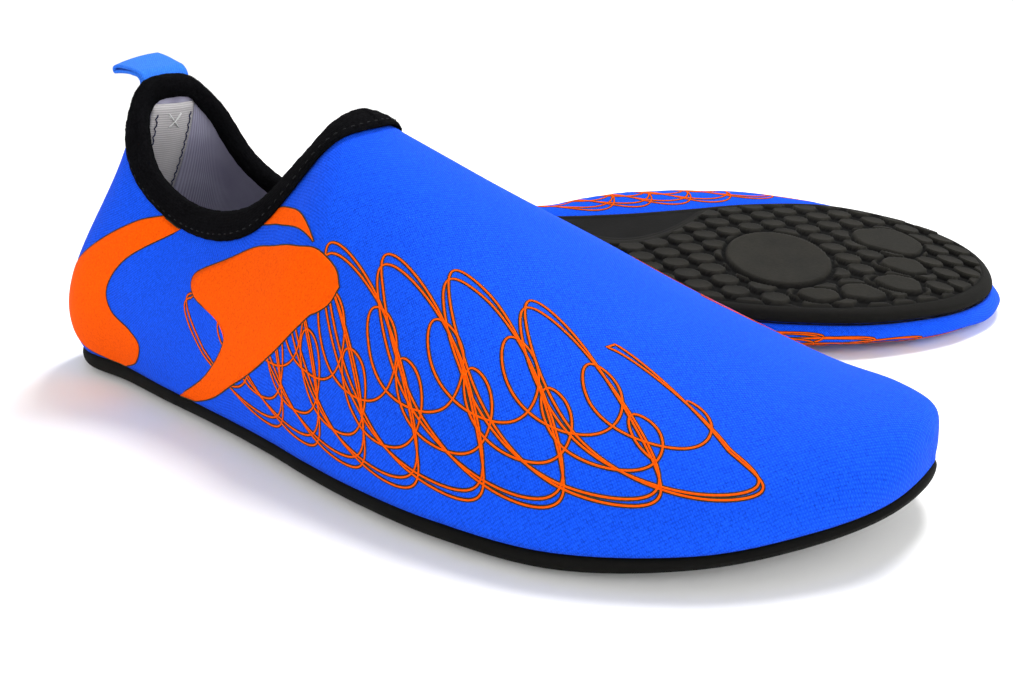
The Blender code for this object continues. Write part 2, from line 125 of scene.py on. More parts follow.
# Squashed shape: top x, y, half width, height over the floor; outer lower length, fall, upper
# length; the same for the inner side; backward angle
FLATTENED = (
    (44, -2, 0, 2.9, 18, 24, 50, 18, 24, 50, 90),
    (45.5, -2, 12, 2.9, 18, 28, 44, 18, 14, 44, 82),
    (51, -2, 23, 2.9, 18, 32, 36, 18, 4, 36, 72),
    (64, -2, 30, 2.9, 17, 14, 12, 20, -10, 28, 52),
    (80, -3, 32, 2.9, 15, 10, 11, 24, -20, 24, 26),
    (96, -4, 29, 2.9, 13, 8, 14, 30, -28, 24, 4),
    (108, -4, 22, 2.9, 12, 8, 24, 36, -33, 32, -14),
    (116, -3, 12, 2.9, 12, 8, 38, 42, -36, 42, -26),
    (119, -2, 0, 2.9, 12, 10, 50, 45, -37, 50, -30),
    (145, 1, 0, 1.3, 13, 18, 54, 44, -36, 54, -16),
    (173, 4, 0, 0.4, 12, 24, 55, 38, -32, 56, -4),
    (204, 6, 0, 0.1, 12, 30, 51, 28, -22, 50, 0),
    (230, 9, 0, 0.1, 12, 34, 36, 18, -4, 38, 0),
    (248, 11, 0, 0.1, 11, 34, 26, 12, 16, 26, -20),
    (258, 12, 0, 0.1, 10, 34, 16, 10, 28, 16, -45),
    (262, 13, 0, 0.1, 10, 30, 10, 10, 30, 10, -90),
)

RIGHT_YAW = -34.5
LEFT_TURN = (-5.3, 2.3, 10.0)
LEFT_HEEL = (51.3, 41.9, 27.0)

FINE = 12               # columns to a rib of the visible cloth
CLOTH_ROWS = 44
RIDGE_REACH = 16        # the cloth is softened this far from the ridge over the foot
RIDGE_ROUNDS = 30
INSIDE = (140, 0, 22.0)  # a point within the foot, to tell outside from inside


def degrees(angle):
    return math.radians(angle)


def smooth(low, high, value):
    t = np.clip((np.asarray(value, float) - low) / (high - low), 0, 1)
    return t * t * (3 - 2 * t)


def unit(rows):
    """Every row as a vector of length one."""
    return rows / np.maximum(np.linalg.norm(rows, axis=-1), 1e-9)[..., None]


def level_out(points):
    """The level way out of a closed outline, at each of its points."""
    along = np.roll(points, -1, 0) - np.roll(points, 1, 0)
    return unit(np.column_stack([along[:, 1], -along[:, 0]]))


def arc_of(points):
    """Distance along a line of points, at each of them."""
    return np.concatenate([[0], np.cumsum(np.linalg.norm(np.diff(points, axis=0), axis=1))])


def ground(x):
    """Height of the sole's underside, which turns up to the toe."""
    return SPRING_RISE * (np.maximum(np.asarray(x, float) - SPRING_START, 0) / SPRING_LENGTH) ** 2


# ---------------------------------------------------------------- the shoes' wall surface

class Shoe:
    """One shoe: its side, its frame and the wall surface that every cloth piece follows."""

    def __init__(self, name, side, matrix):
        self.name = name
        self.side = side
        self.matrix = matrix
        across = matrix.to_3x3() @ Vector((0, side, 0))
        across.z = 0
        across = matrix.to_3x3().inverted() @ across.normalized()
        self.across = np.array([across.x, across.y * side, across.z])
        self.keys = self.standing() if name == "right" else self.flattened()

    def around(self):
        """Ribs and sides once round the shoe: the outer side to the toe, the inner side back."""
        outer = [(rib, -1) for rib in range(TOE + 1)]
        return outer + [(rib, 1) for rib in range(TOE - 1, 0, -1)]

    def feet(self):
        points = [FEET[rib][:2] if side < 0 else FEET[rib][2:4] for rib, side in self.around()]
        points = np.array(points, float)
        return points, level_out(points)

    def standing(self):
        rows = []
        for (rib, side), foot, out in zip(self.around(), *self.feet()):
            x, y, half, z, low, rise, high, fall, back = STANDING[rib]
            rise, fall, back = degrees(rise), degrees(fall), degrees(back)
            lower = low * np.array([*(out * math.cos(rise)), math.sin(rise)])
            upper = high * np.array([-math.sin(back) * math.cos(fall),
                                     side * math.cos(back) * math.cos(fall), -math.sin(fall)])
            rows.append([*foot, FEET[rib][4], x, y, z, side * half, *lower, *upper])
        return np.array(rows)

    def flattened(self):
        floor = self.matrix.inverted()
        rows = []
        for (rib, side), foot, out in zip(self.around(), *self.feet()):
            x, y, half, lift = FLATTENED[rib][:4]
            low, drop, high = FLATTENED[rib][4:7] if side < 0 else FLATTENED[rib][7:10]
            back, drop = degrees(FLATTENED[rib][10]), degrees(drop)
            lower = low * np.array([*(out * math.cos(drop)), math.sin(drop)])
            top = self.matrix @ Vector((x, self.side * y, FEATHER_Z))
            top.z = lift
            level = self.matrix.to_3x3() @ Vector((-math.sin(back),
                                                   self.side * side * math.cos(back), 0))
            level.z = 0
            upper = floor.to_3x3() @ (level.normalized() * high)
            top = floor @ top
            rows.append([*foot, FEET[rib][4], top.x, self.side * top.y, top.z, side * half,
                         *lower, upper.x, self.side * upper.y, upper.z])
        return np.array(rows)

    def wall(self, columns, rows):
        """Points of the wall at rib numbers and heights 0 to 1, which broadcast together."""
        columns, rows = np.broadcast_arrays(np.asarray(columns, float), np.asarray(rows, float))
        shape = columns.shape
        at, t = columns.reshape(-1) % (2 * TOE), rows.reshape(-1, 1)
        low = np.floor(at).astype(int)
        part = (at - low)[:, None]
        before, start, end, after = (self.keys[(low + k) % len(self.keys)] for k in (-1, 0, 1, 2))
        top, ridge = slice(3, 7), 2 * TOE - THROAT
        after[low == THROAT - 1, top] = self.keys[ridge + 1, top]
        before[low == ridge, top] = self.keys[THROAT - 1, top]
        before[low == THROAT, top] = (2 * start - end)[low == THROAT, top]
        after[low == ridge - 1, top] = (2 * end - start)[low == ridge - 1, top]
        key = start + 0.5 * part * (end - before + part * (
            2 * before - 5 * start + 4 * end - after + part * (3 * start - before - 3 * end + after)))
        half = np.where(at <= TOE, np.minimum(key[:, 6], 0), np.maximum(key[:, 6], 0))
        foot = key[:, 0:3]
        top = key[:, 3:6] + half[:, None] * self.across
        lower, upper = foot + key[:, 7:10], top + key[:, 10:13]
        points = (1 - t) ** 3 * foot + 3 * (1 - t) ** 2 * t * lower
        points = points + 3 * (1 - t) * t ** 2 * upper + t ** 3 * top
        return (points * np.array([1, self.side, 1])).reshape(*shape, 3)

    def normal(self, columns, rows):
        step = 0.01
        rows = np.clip(rows, step, 1 - step)
        along = self.wall(columns + step, rows) - self.wall(columns - step, rows)
        up = self.wall(columns, rows + step) - self.wall(columns, rows - step)
        return unit(np.cross(along, up) * self.side)

    def skin(self, columns, rows, offset=0.0):
        """The wall moved out by an offset and by the cloth's own gentle waves."""
        columns, rows = np.broadcast_arrays(np.asarray(columns, float), np.asarray(rows, float))
        waves = self.waves(columns, rows) + offset
        return self.wall(columns, rows) + self.normal(columns, rows) * waves[..., None]

    def waves(self, columns, rows):
        c, r = columns * 2 * math.pi / (2 * TOE), rows
        wave = (np.sin(5 * c + 3 * r) + 0.6 * np.sin(11 * c - 7 * r + 1.3)
                + 0.4 * np.sin(19 * c + 12 * r + 0.4))
        deep = 0.16
        if self.name == "left":
            wave = wave + 1.2 * np.sin(23 * c + 4 * r) * np.sin(math.pi * r)
            deep = 0.22
        return deep * wave * np.sin(math.pi * r) ** 0.5 * smooth(0, 0.25, 1 - r)


def shoe_matrices():
    """Both shoes' frames in millimetres, moved to where the CAD has them."""
    right = Euler((0, 0, degrees(RIGHT_YAW))).to_matrix().to_4x4()
    yaw, pitch, roll = (degrees(angle) for angle in LEFT_TURN)
    left = (Matrix.Translation(LEFT_HEEL) @ Matrix.Rotation(yaw, 4, "Z")
            @ Matrix.Rotation(pitch, 4, "Y") @ Matrix.Rotation(roll + math.pi, 4, "X")
            @ Matrix.Translation((0, 0, -FEATHER_Z)))
    trial = Shoe("right", 1, right)
    points = trial.wall(np.arange(0, 2 * TOE, 0.5)[:, None],
                        np.array([0, 0.16, 0.33, 0.5, 0.67, 0.84, 1])[None])
    turn = np.array(right.to_3x3())
    low = (points.reshape(-1, 3) @ turn.T).min(0)
    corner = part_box("right_upper")[0] / MM
    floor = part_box("right_outsole")[0].z / MM
    shift = Matrix.Translation((corner.x - low[0], corner.y - low[1], floor))
    return shift @ right, shift @ left


# ---------------------------------------------------------------- making pieces

SQUEEZE = 1.4           # the lying shoe is pressed flatter under this height
LEAST = 0.5             # and nothing of it comes nearer to the floor than this
THREAD_SIDES = 6


def place(shoe, points):
    """Points of a shoe's frame in millimetres, as points of the row frame in metres."""
    matrix = np.array(shoe.matrix)
    placed = np.asarray(points, float) @ matrix[:3, :3].T + matrix[:3, 3]
    if shoe.name == "left":
        room = SQUEEZE - LEAST
        under = np.minimum(placed[:, 2] - SQUEEZE, 0) / room
        placed[:, 2] = np.maximum(placed[:, 2], SQUEEZE) - room * (1 - np.exp(under))
    return placed * MM


def piece(name, shoe, points, faces, finish, uv=None, body=None, node=None):
    """A mesh piece of a shoe, on its body and in place of a CAD node. uv has one pair for every
    vertex, in metres of cloth. A finish is named after the record's material."""
    mesh = bpy.data.meshes.new(name)
    mesh.from_pydata([tuple(p) for p in place(shoe, points)], [], faces)
    if uv is not None:
        layer = mesh.uv_layers.new(name="cloth")
        loops = np.empty(len(mesh.loops), int)
        mesh.loops.foreach_get("vertex_index", loops)
        layer.data.foreach_set("uv", np.asarray(uv, float)[loops].reshape(-1))
    bm = bmesh.new()
    bm.from_mesh(mesh)
    bmesh.ops.remove_doubles(bm, verts=bm.verts, dist=1e-6)
    bmesh.ops.dissolve_degenerate(bm, edges=bm.edges, dist=1e-7)
    bmesh.ops.recalc_face_normals(bm, faces=bm.faces)
    bm.to_mesh(mesh)
    bm.free()
    mesh.shade_smooth()
    obj = bpy.data.objects.new(shoe.name + "_" + name, mesh)
    bpy.context.scene.collection.objects.link(obj)
    mesh.materials.append(finish)
    if body:
        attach(obj, body)
    if node:
        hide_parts(shoe.name + "_" + node)
    return obj


def grid_faces(columns, rows, closed=False, around=False):
    """Quads of a grid whose vertex (column, row) is column * rows + row. closed joins the last
    column to the first, and around does so with the rows."""
    faces = []
    for c in range(columns if closed else columns - 1):
        d = (c + 1) % columns
        for r in range(rows if around else rows - 1):
            s = (r + 1) % rows
            faces.append((c * rows + r, d * rows + r, d * rows + s, c * rows + s))
    return faces


def grid_uv(columns, rows):
    """uv of a grid from its columns' and rows' distances in millimetres."""
    return np.stack(np.meshgrid(columns, rows, indexing="ij"), -1).reshape(-1, 2) * MM


def tube(points, radius, normals):
    """Vertices and faces of a thread along points, closed at both ends."""
    points = np.asarray(points, float)
    n = len(points)
    along = unit(np.gradient(points, axis=0))
    across = unit(np.cross(along, normals))
    up = np.cross(across, along)
    turn = np.arange(THREAD_SIDES) * 2 * math.pi / THREAD_SIDES
    radius = np.broadcast_to(np.asarray(radius, float), (n,))
    verts = (points[:, None] + radius[:, None, None] * (
        np.cos(turn)[None, :, None] * across[:, None]
        + np.sin(turn)[None, :, None] * up[:, None])).reshape(-1, 3)
    faces = grid_faces(n, THREAD_SIDES, around=True)
    faces.append(tuple(range(THREAD_SIDES))[::-1])
    faces.append(tuple(range((n - 1) * THREAD_SIDES, n * THREAD_SIDES)))
    return verts, faces


def join(parts):
    """One list of vertices and faces from several."""
    verts, faces, count = [], [], 0
    for v, f in parts:
        verts.append(np.asarray(v, float))
        faces += [tuple(k + count for k in face) for face in f]
        count += len(v)
    return np.concatenate(verts), faces


def along_line(points, step, closed=False):
    """Evenly spaced distances along a line, a function from distance to point, and its length."""
    points = np.asarray(points, float)
    if closed:
        points = np.concatenate([points, points[:1]])
    arc = arc_of(points)

    def at(distance):
        return np.stack([np.interp(distance, arc, points[:, k]) for k in range(points.shape[1])], -1)
    return np.arange(0, arc[-1] - step * 0.5, step), at, arc[-1]


def stitches(line, normals, pitch, length, radius, closed=False):
    """Separate stitches along a line: each a short thread whose ends dip into the cloth."""
    line = np.concatenate([np.asarray(line, float), np.asarray(normals, float)], axis=1)
    starts, at, total = along_line(line, pitch, closed)
    parts = []
    for start in starts:
        if start + length > total:
            continue
        spots = at(start + np.linspace(0, length, 7))
        dip = radius * np.array([-1.3, -0.2, 0.5, 0.7, 0.5, -0.2, -1.3])
        points = spots[:, :3] + spots[:, 3:] * dip[:, None]
        thick = radius * np.array([0.6, 0.95, 1, 1, 1, 0.95, 0.6])
        parts.append(tube(points, thick, spots[:, 3:]))
    return join(parts)


def solidify(obj, thickness, offset):
    """Give an open sheet its thickness for good."""
    layer = obj.modifiers.new("layer", "SOLIDIFY")
    layer.thickness = thickness * MM
    layer.offset = offset
    layer.use_even_offset = False
    bpy.context.view_layer.update()
    graph = bpy.context.evaluated_depsgraph_get()
    done = bpy.data.meshes.new_from_object(obj.evaluated_get(graph))
    obj.modifiers.clear()
    obj.data = done
    return obj


# ---------------------------------------------------------------- materials

class Finish:
    """A procedural material, built a few nodes at a time."""

    def __init__(self, name, roughness, **sockets):
        self.made = bpy.data.materials.new(name)
        self.made.use_nodes = True
        self.tree = self.made.node_tree
        self.shader = self.tree.nodes["Principled BSDF"]
        self.shader.inputs["Roughness"].default_value = roughness
        for socket, value in sockets.items():
            self.shader.inputs[socket.replace("_", " ")].default_value = value
        coordinates = self.node("ShaderNodeTexCoord")
        self.uv = coordinates.outputs["UV"]
        self.space = coordinates.outputs["Object"]

    def node(self, kind, **settings):
        made = self.tree.nodes.new(kind)
        for key, value in settings.items():
            setattr(made, key, value)
        return made

    def link(self, source, target):
        self.tree.links.new(source, target)

    def scaled(self, source, scale, turn=0.0):
        mapping = self.node("ShaderNodeMapping")
        mapping.inputs["Scale"].default_value = scale if hasattr(scale, "__len__") else (scale,) * 3
        mapping.inputs["Rotation"].default_value = (0, 0, degrees(turn))
        self.link(source, mapping.inputs["Vector"])
        return mapping.outputs["Vector"]

    def yarns(self, spacing, turn=0.0):
        """The uv counted in yarns of a spacing in millimetres."""
        return self.scaled(self.uv, (1000 / spacing, 1000 / spacing, 1), turn)

    def noise(self, source, scale, detail=2.0, rough=0.5):
        made = self.node("ShaderNodeTexNoise")
        made.inputs["Scale"].default_value = scale
        made.inputs["Detail"].default_value = detail
        made.inputs["Roughness"].default_value = rough
        self.link(source, made.inputs["Vector"])
        return made.outputs["Fac"]

    def bands(self, source, scale, direction="X"):
        made = self.node("ShaderNodeTexWave", wave_type="BANDS", bands_direction=direction)
        made.inputs["Scale"].default_value = scale
        self.link(source, made.inputs["Vector"])
        return made.outputs["Fac"]

    def maths(self, operation, first, second):
        made = self.node("ShaderNodeMath", operation=operation)
        for socket, value in zip(made.inputs, (first, second)):
            if isinstance(value, (int, float)):
                socket.default_value = value
            else:
                self.link(value, socket)
        return made.outputs[0]

    def ramp(self, source, stops):
        made = self.node("ShaderNodeValToRGB")
        bar = made.color_ramp.elements
        for element, (position, colour) in zip(bar, stops[:2]):
            element.position = position
            element.color = (*colour, 1)
        for position, colour in stops[2:]:
            bar.new(position).color = (*colour, 1)
        self.link(source, made.inputs["Fac"])
        return made.outputs["Color"]

    def mix(self, factor, first, second):
        made = self.node("ShaderNodeMix", data_type="RGBA")
        for socket, value in zip((made.inputs[0], made.inputs[6], made.inputs[7]),
                                 (factor, first, second)):
            if isinstance(value, (int, float)):
                socket.default_value = value
            elif isinstance(value, tuple):
                socket.default_value = (*value, 1)
            else:
                self.link(value, socket)
        return made.outputs[2]

    def colour(self, source):
        self.link(source, self.shader.inputs["Base Color"])

    def axis(self, source, name):
        split = self.node("ShaderNodeSeparateXYZ")
        self.link(source, split.inputs[0])
        return split.outputs[name]

    def ranged(self, source, **ends):
        """A value moved from one range to another. ends are From_Min, To_Max and so on."""
        made = self.node("ShaderNodeMapRange")
        for end, value in ends.items():
            made.inputs[end.replace("_", " ")].default_value = value
        self.link(source, made.inputs["Value"])
        return made.outputs["Result"]

    def rough(self, source, low, high):
        self.link(self.ranged(source, To_Min=low, To_Max=high), self.shader.inputs["Roughness"])

    def bump(self, source, depth):
        """Bump of a height in millimetres; a second call goes on top of the first."""
        made = self.node("ShaderNodeBump")
        made.inputs["Distance"].default_value = depth * MM
        made.inputs["Strength"].default_value = 1.0
        before = self.shader.inputs["Normal"].links
        if before:
            self.link(before[0].from_socket, made.inputs["Normal"])
        self.link(source, made.inputs["Height"])
        self.link(made.outputs["Normal"], self.shader.inputs["Normal"])


def knit(name, dark, plain, light, rough=0.8, sheen=0.02, loop=0.62, depth=0.07):
    """Stretch knit: rows of fine loops, specks of lighter and darker yarn, a soft bloom."""
    made = Finish(name, rough, Sheen_Weight=sheen, Sheen_Roughness=0.45, Specular_IOR_Level=0.03)
    across = made.bands(made.yarns(loop, 45), 0.32)
    rows = made.bands(made.yarns(loop, -38), 0.32)
    loops = made.maths("MULTIPLY", across, rows)
    specks = made.noise(made.space, 1700, 3, 0.7)
    wash = made.noise(made.space, 26, 3)
    yarn = made.maths("ADD", made.maths("MULTIPLY", loops, 0.28),
                      made.maths("MULTIPLY", specks, 0.85))
    tone = made.ramp(yarn, [(0.22, dark), (0.72, light), (0.46, plain)])
    made.colour(made.mix(made.maths("MULTIPLY", wash, 0.28), tone, dark))
    made.rough(specks, rough - 0.1, rough + 0.12)
    made.bump(loops, depth)
    made.bump(specks, depth * 0.5)
    return made.made


def jersey(name, dark, light, rough=0.55, ribs=0.8):
    """Fine smooth jersey with a satin sheen."""
    made = Finish(name, rough, Sheen_Weight=0.1, Sheen_Roughness=0.3, Specular_IOR_Level=0.6)
    rows = made.bands(made.yarns(ribs), 0.32)
    specks = made.noise(made.space, 1400, 2, 0.6)
    wash = made.noise(made.space, 45, 3)
    tone = made.maths("ADD", made.maths("MULTIPLY", rows, 0.3), made.maths("MULTIPLY", wash, 0.7))
    made.colour(made.ramp(tone, [(0.3, dark), (0.75, light)]))
    made.rough(specks, rough - 0.08, rough + 0.1)
    made.bump(rows, 0.06)
    made.bump(specks, 0.04)
    return made.made


def elastic(name, dark, light):
    """Bulky ribbed binding tape: fine ribs across its run and a matt nap."""
    made = Finish(name, 1.0, Specular_IOR_Level=0.02)
    ribs = made.bands(made.yarns(1.0), 0.55)
    runs = made.bands(made.yarns(1.0), 0.42, "Y")
    nap = made.noise(made.space, 1500, 3, 0.7)
    made.colour(made.ramp(nap, [(0.35, dark), (0.75, light)]))
    made.bump(made.maths("MULTIPLY", ribs, runs), 0.07)
    made.bump(nap, 0.10)
    return made.made


def cord_thread(name, dark, light):
    """Twisted polyester thread."""
    made = Finish(name, 0.7, Specular_IOR_Level=0.15)
    twist = made.bands(made.scaled(made.space, 1000), 1.1, "DIAGONAL")
    made.colour(made.ramp(twist, [(0.2, dark), (0.8, light)]))
    made.bump(twist, 0.1)
    return made.made


def moulded(name):
    """Moulded rubber: fine grain, dusty tops, and painted shade that darkens it in its
    grooves. The v of its uv is the depth under the tread's face."""
    made = Finish(name, 0.85, Specular_IOR_Level=0.06)
    grain = made.noise(made.space, 900, 4, 0.65)
    dust = made.noise(made.space, 70, 5, 0.6)
    # painted shade mask: 1 at the tread's face, where the dusty tone shows, falling to 0 deeper than
    # 1.5 mm down
    wear_and_groove_shade = made.ranged(made.axis(made.uv, "Y"), From_Min=1.5 * MM, From_Max=0.3 * MM)
    tone = made.ramp(made.maths("ADD", made.maths("MULTIPLY", grain, 0.35),
                                made.maths("MULTIPLY", dust, 0.65)),
                     [(0.32, (0.009, 0.0088, 0.0072)), (0.72, (0.021, 0.0195, 0.0155))])
    # painted shade: the grooves go near-black with depth, standing in for the shade in them
    made.colour(made.mix(wear_and_groove_shade, (0.0028, 0.0028, 0.0026), tone))
    made.rough(dust, 0.72, 0.92)
    made.bump(grain, 0.08)
    return made.made


def felt(name, dark, light, scale):
    """Stitched fibre board or foam with a cloth face."""
    made = Finish(name, 0.95, Sheen_Weight=0.2)
    fibre = made.noise(made.space, scale, 5, 0.75)
    made.colour(made.ramp(fibre, [(0.3, dark), (0.7, light)]))
    made.bump(fibre, 0.25)
    return made.made


BLUE_DARK, BLUE_PLAIN, BLUE_LIGHT = (0.003, 0.034, 0.40), (0.005, 0.072, 0.74), (0.012, 0.118, 0.93)
BLUE_KNIT = knit("visual_blue_knit", BLUE_DARK, BLUE_PLAIN, BLUE_LIGHT)
ORANGE_INK = knit("visual_orange_ink", (0.70, 0.055, 0.001), (0.90, 0.100, 0.0005), (0.98, 0.13, 0.002),
                  0.8, 0.0)
DARK_INK = knit("visual_dark_ink", (0.020, 0.018, 0.012), (0.045, 0.038, 0.016), (0.075, 0.06, 0.025),
                0.7, 0.04)
BLUE_TAPE = knit("visual_blue_tape", (0.013, 0.095, 0.52), (0.027, 0.16, 0.74), (0.045, 0.22, 0.88),
                 0.75, 0.03, 0.55, 0.07)
GREY_JERSEY = jersey("visual_grey_jersey", (0.20, 0.19, 0.28), (0.44, 0.43, 0.56), 0.34, 0.6)
TAPE_GREY = jersey("visual_tape_grey", (0.34, 0.325, 0.335), (0.62, 0.60, 0.61), 0.42, 0.7)
BLACK_ELASTIC = elastic("visual_black_elastic", (0.0012, 0.0012, 0.0015), (0.006, 0.006, 0.007))
RUBBER = moulded("visual_rubber")
BOARD_FELT = felt("visual_board_felt", (0.45, 0.44, 0.40), (0.72, 0.70, 0.66), 900)
INSOLE_FOAM = felt("visual_insole_foam", (0.02, 0.02, 0.026), (0.06, 0.06, 0.07), 1200)
NAVY_THREAD = cord_thread("visual_navy_thread", (0.006, 0.009, 0.04), (0.02, 0.028, 0.09))
BLACK_THREAD = cord_thread("visual_black_thread", (0.0015, 0.0015, 0.002), (0.006, 0.006, 0.007))
BLUE_THREAD = cord_thread("visual_blue_thread", (0.01, 0.04, 0.36), (0.03, 0.10, 0.62))
WHITE_THREAD = cord_thread("visual_white_thread", (0.6, 0.6, 0.6), (0.9, 0.9, 0.9))


# ---------------------------------------------------------------- the upper and its prints

def cloth_grid(shoe, offset, waves=True):
    """Fine grid of the wall, its two sides sharing the ridge: points, faces and uv."""
    columns = np.arange(0, 2 * TOE, 1 / FINE)
    rows = np.linspace(0, 1, CLOTH_ROWS + 1)
    at, t = np.meshgrid(columns, rows, indexing="ij")
    if waves:
        points = shoe.skin(at, t, offset)
    else:
        points = shoe.wall(at, t) + shoe.normal(at, t) * offset
    count, high = at.shape
    index = np.arange(count * high).reshape(count, high)
    toe, throat = TOE * FINE, THROAT * FINE
    for column in range(toe + 1, count - throat + 1):
        twin = count - column
        middle = (points[twin, -1] + points[column, -1]) / 2
        points[twin, -1] = middle
        points[column, -1] = middle
        index[column, -1] = index[twin, -1]
    plain = shoe.wall(at, t)
    ups = np.linalg.norm(np.diff(plain, axis=1), axis=2)
    v = np.concatenate([np.zeros((count, 1)), np.cumsum(ups, axis=1)], axis=1)
    v = v[:, -1:] - v
    v[columns > TOE] *= -1
    half = np.minimum(columns, 2 * TOE - columns)
    u = plain[:, high // 3, 0]
    u = (u + u[(count - np.arange(count)) % count]) / 2 + 0.001 * half
    uv = np.stack([np.broadcast_to(u[:, None], v.shape), v], -1) * MM
    faces = []
    for c in range(count):
        d = (c + 1) % count
        for r in range(high - 1):
            quad = [index[c, r], index[d, r], index[d, r + 1], index[c, r + 1]]
            quad = list(dict.fromkeys(int(k) for k in quad))
            if len(quad) > 2:
                faces.append(tuple(quad))
    return points.reshape(-1, 3), faces, uv.reshape(-1, 2)


def cloth_layer(name, shoe, offset, thickness, finish, waves, body, node):
    """One layer of the wall's cloth, with its thickness laid inwards from an offset."""
    points, faces, uv = cloth_grid(shoe, offset, waves)
    used = sorted({k for face in faces for k in face})
    new = {k: n for n, k in enumerate(used)}
    faces = [tuple(new[k] for k in face) for face in faces]
    made = piece(name, shoe, points[used], faces, finish, uv[used], None, node)
    relax_ridge(made, shoe)
    outward(made, shoe)
    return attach(solidify(made, thickness, -1), body)


def relax_ridge(obj, shoe):
    """Soften the line where the two sides meet over the foot."""
    bm = bmesh.new()
    bm.from_mesh(obj.data)
    bm.verts.ensure_lookup_table()
    inverse = (Matrix.Scale(MM, 4) @ shoe.matrix).inverted()
    ridge = np.array([shoe.wall(rib, 1.0) for rib in np.linspace(THROAT, TOE, 120)])
    near = []
    for vert in bm.verts:
        if vert.is_boundary:
            continue
        spot = np.array(inverse @ vert.co)
        gap = np.linalg.norm(ridge - spot, axis=1).min()
        if gap < RIDGE_REACH:
            near.append((vert, 1 - gap / RIDGE_REACH))
    for _ in range(RIDGE_ROUNDS):
        moves = []
        for vert, weight in near:
            around = [edge.other_vert(vert).co for edge in vert.link_edges]
            middle = sum(around, Vector()) / len(around)
            moves.append((vert, vert.co.lerp(middle, 0.5 * weight)))
        for vert, co in moves:
            vert.co = co
    bm.to_mesh(obj.data)
    bm.free()


def outward(obj, shoe):
    """Turn an open layer's faces to the outside of the foot."""
    mesh = obj.data
    centre = Vector(place(shoe, [INSIDE])[0])
    score = sum((face.center - centre).dot(face.normal) * face.area for face in mesh.polygons)
    if score < 0:
        mesh.flip_normals()


def strip(shoe, left, right, across, offset):
    """A printed patch between two lines of (rib, height) points on the wall."""
    left, right = np.asarray(left, float), np.asarray(right, float)
    w = np.linspace(0, 1, across)[None, :, None]
    spots = left[:, None] * (1 - w) + right[:, None] * w
    points = shoe.skin(spots[..., 0], spots[..., 1], offset)
    return points.reshape(-1, 3), grid_faces(len(left), across)


def curve(points, count):
    """A smooth line through a few given points."""
    points = np.asarray(points, float)
    padded = np.concatenate([[2 * points[0] - points[1]], points, [2 * points[-1] - points[-2]]])
    at = np.linspace(0, len(points) - 1, count)
    low = np.minimum(at.astype(int), len(points) - 2)
    t = (at - low)[:, None]
    p0, p1, p2, p3 = (padded[low + k] for k in range(4))
    return p1 + 0.5 * t * (p2 - p0 + t * (2 * p0 - 5 * p1 + 4 * p2 - p3
                                          + t * (3 * p1 - p0 - 3 * p2 + p3)))


def ribbon(shoe, line, width, offset):
    """A printed line of a width in millimetres round a closed line of (rib, height) points."""
    line = np.asarray(line, float)
    points = shoe.skin(line[:, 0], line[:, 1], offset)
    normals = shoe.normal(line[:, 0], line[:, 1])
    along = np.roll(points, -1, 0) - np.roll(points, 1, 0)
    edge = width / 2 * unit(np.cross(normals, along))
    verts = np.stack([points - edge, points, points + edge], 1).reshape(-1, 3)
    return verts, grid_faces(len(line), 3, True)


CRESCENT_OUT = ((3.5, 0.90), (3.0, 0.79), (2.2, 0.56), (1.6, 0.36), (1.5, 0.18), (2.0, 0.05),
                (2.6, 0.01), (3.05, 0.005))
CRESCENT_IN = ((3.85, 0.88), (3.1, 0.62), (2.85, 0.43), (3.0, 0.30), (3.4, 0.23), (3.6, 0.16),
               (3.45, 0.06), (3.1, 0.005))
LEAF_UP = ((4.45, 0.0), (5.15, 0.17), (5.5, 0.33), (5.1, 0.45), (4.52, 0.555), (4.45, 0.685),
           (5.15, 0.77), (6.05, 0.665), (7.0, 0.585), (7.75, 0.55), (8.25, 0.52), (8.4, 0.48))
LEAF_DOWN = ((4.8, 0.01), (5.3, 0.07), (5.8, 0.14), (6.3, 0.20), (6.8, 0.26), (7.2, 0.305),
             (7.55, 0.345), (7.85, 0.375), (8.1, 0.40), (8.3, 0.435), (8.4, 0.48))
SLIVER_UP = ((5.6, 0.88), (6.2, 0.785), (6.95, 0.675), (7.65, 0.57))
SLIVER_DOWN = ((5.3, 0.88), (5.8, 0.785), (6.5, 0.69), (7.65, 0.57))
EDGE = 0.38             # dark line around every patch
LINE = 0.40             # width of a looping line, and of the dark line under it
OUTLINE = 1.0
INK = 0.08
PATCH_LIFT = 0.17       # how far each kind of print stands off the cloth
PATCH_EDGE_LIFT = 0.14
LINE_LIFT = 0.11
OUTLINE_LIFT = 0.06

# Two looping lines: start, end, turns and slant, then lag, rise, reach and height of both coils
COILS = (
    (96.0, 227.0, 8.0, 70.0, ((0.0, 0.265, 14.5, 0.315), (0.25, 0.24, 16.0, 0.315))),
    (98.0, 228.0, 8.0, 30.0, ((0.0, 0.115, 8.5, 0.36), (2.2, 0.11, 7.5, 0.25))),
)


def rib_at(distance):
    """Rib number at a distance along the foot's outer side."""
    return np.interp(distance, [row[0] for row in FEET], np.arange(len(FEET)))


def coil(start, end, turns, reach, rise, slant, lag, low):
    """A slanted looping line: (rib, height) points of a prolate trochoid."""
    way = np.linspace(0, 1, int(turns * 90))
    phase = 2 * math.pi * turns * way + lag
    height = rise * np.cos(phase)
    middle = low + 0.21 * smooth(150, 232, start + (end - start) * way)
    grow = 1 - 0.22 * smooth(190, 250, start + (end - start) * way)
    x = start + (end - start) * way - reach * grow * np.sin(phase) - slant * height
    return np.stack([rib_at(x), middle + grow * height * (1 - 0.06 * np.cos(2 * phase))], -1)


def looping_lines():
    """Interlaced looping lines: a tall double coil, and two small coils through its middle. Each
    pair is one closed line, out along the first and back along the second."""
    lines = []
    for start, end, turns, slant, pair in COILS:
        there, back = (coil(start, end, turns, reach, rise, slant, lag, low)
                       for lag, rise, reach, low in pair)
        lines.append(np.concatenate([there, back[::-1]]))
    return lines + [np.stack([2 * TOE - line[:, 0], line[:, 1]], -1) for line in lines]


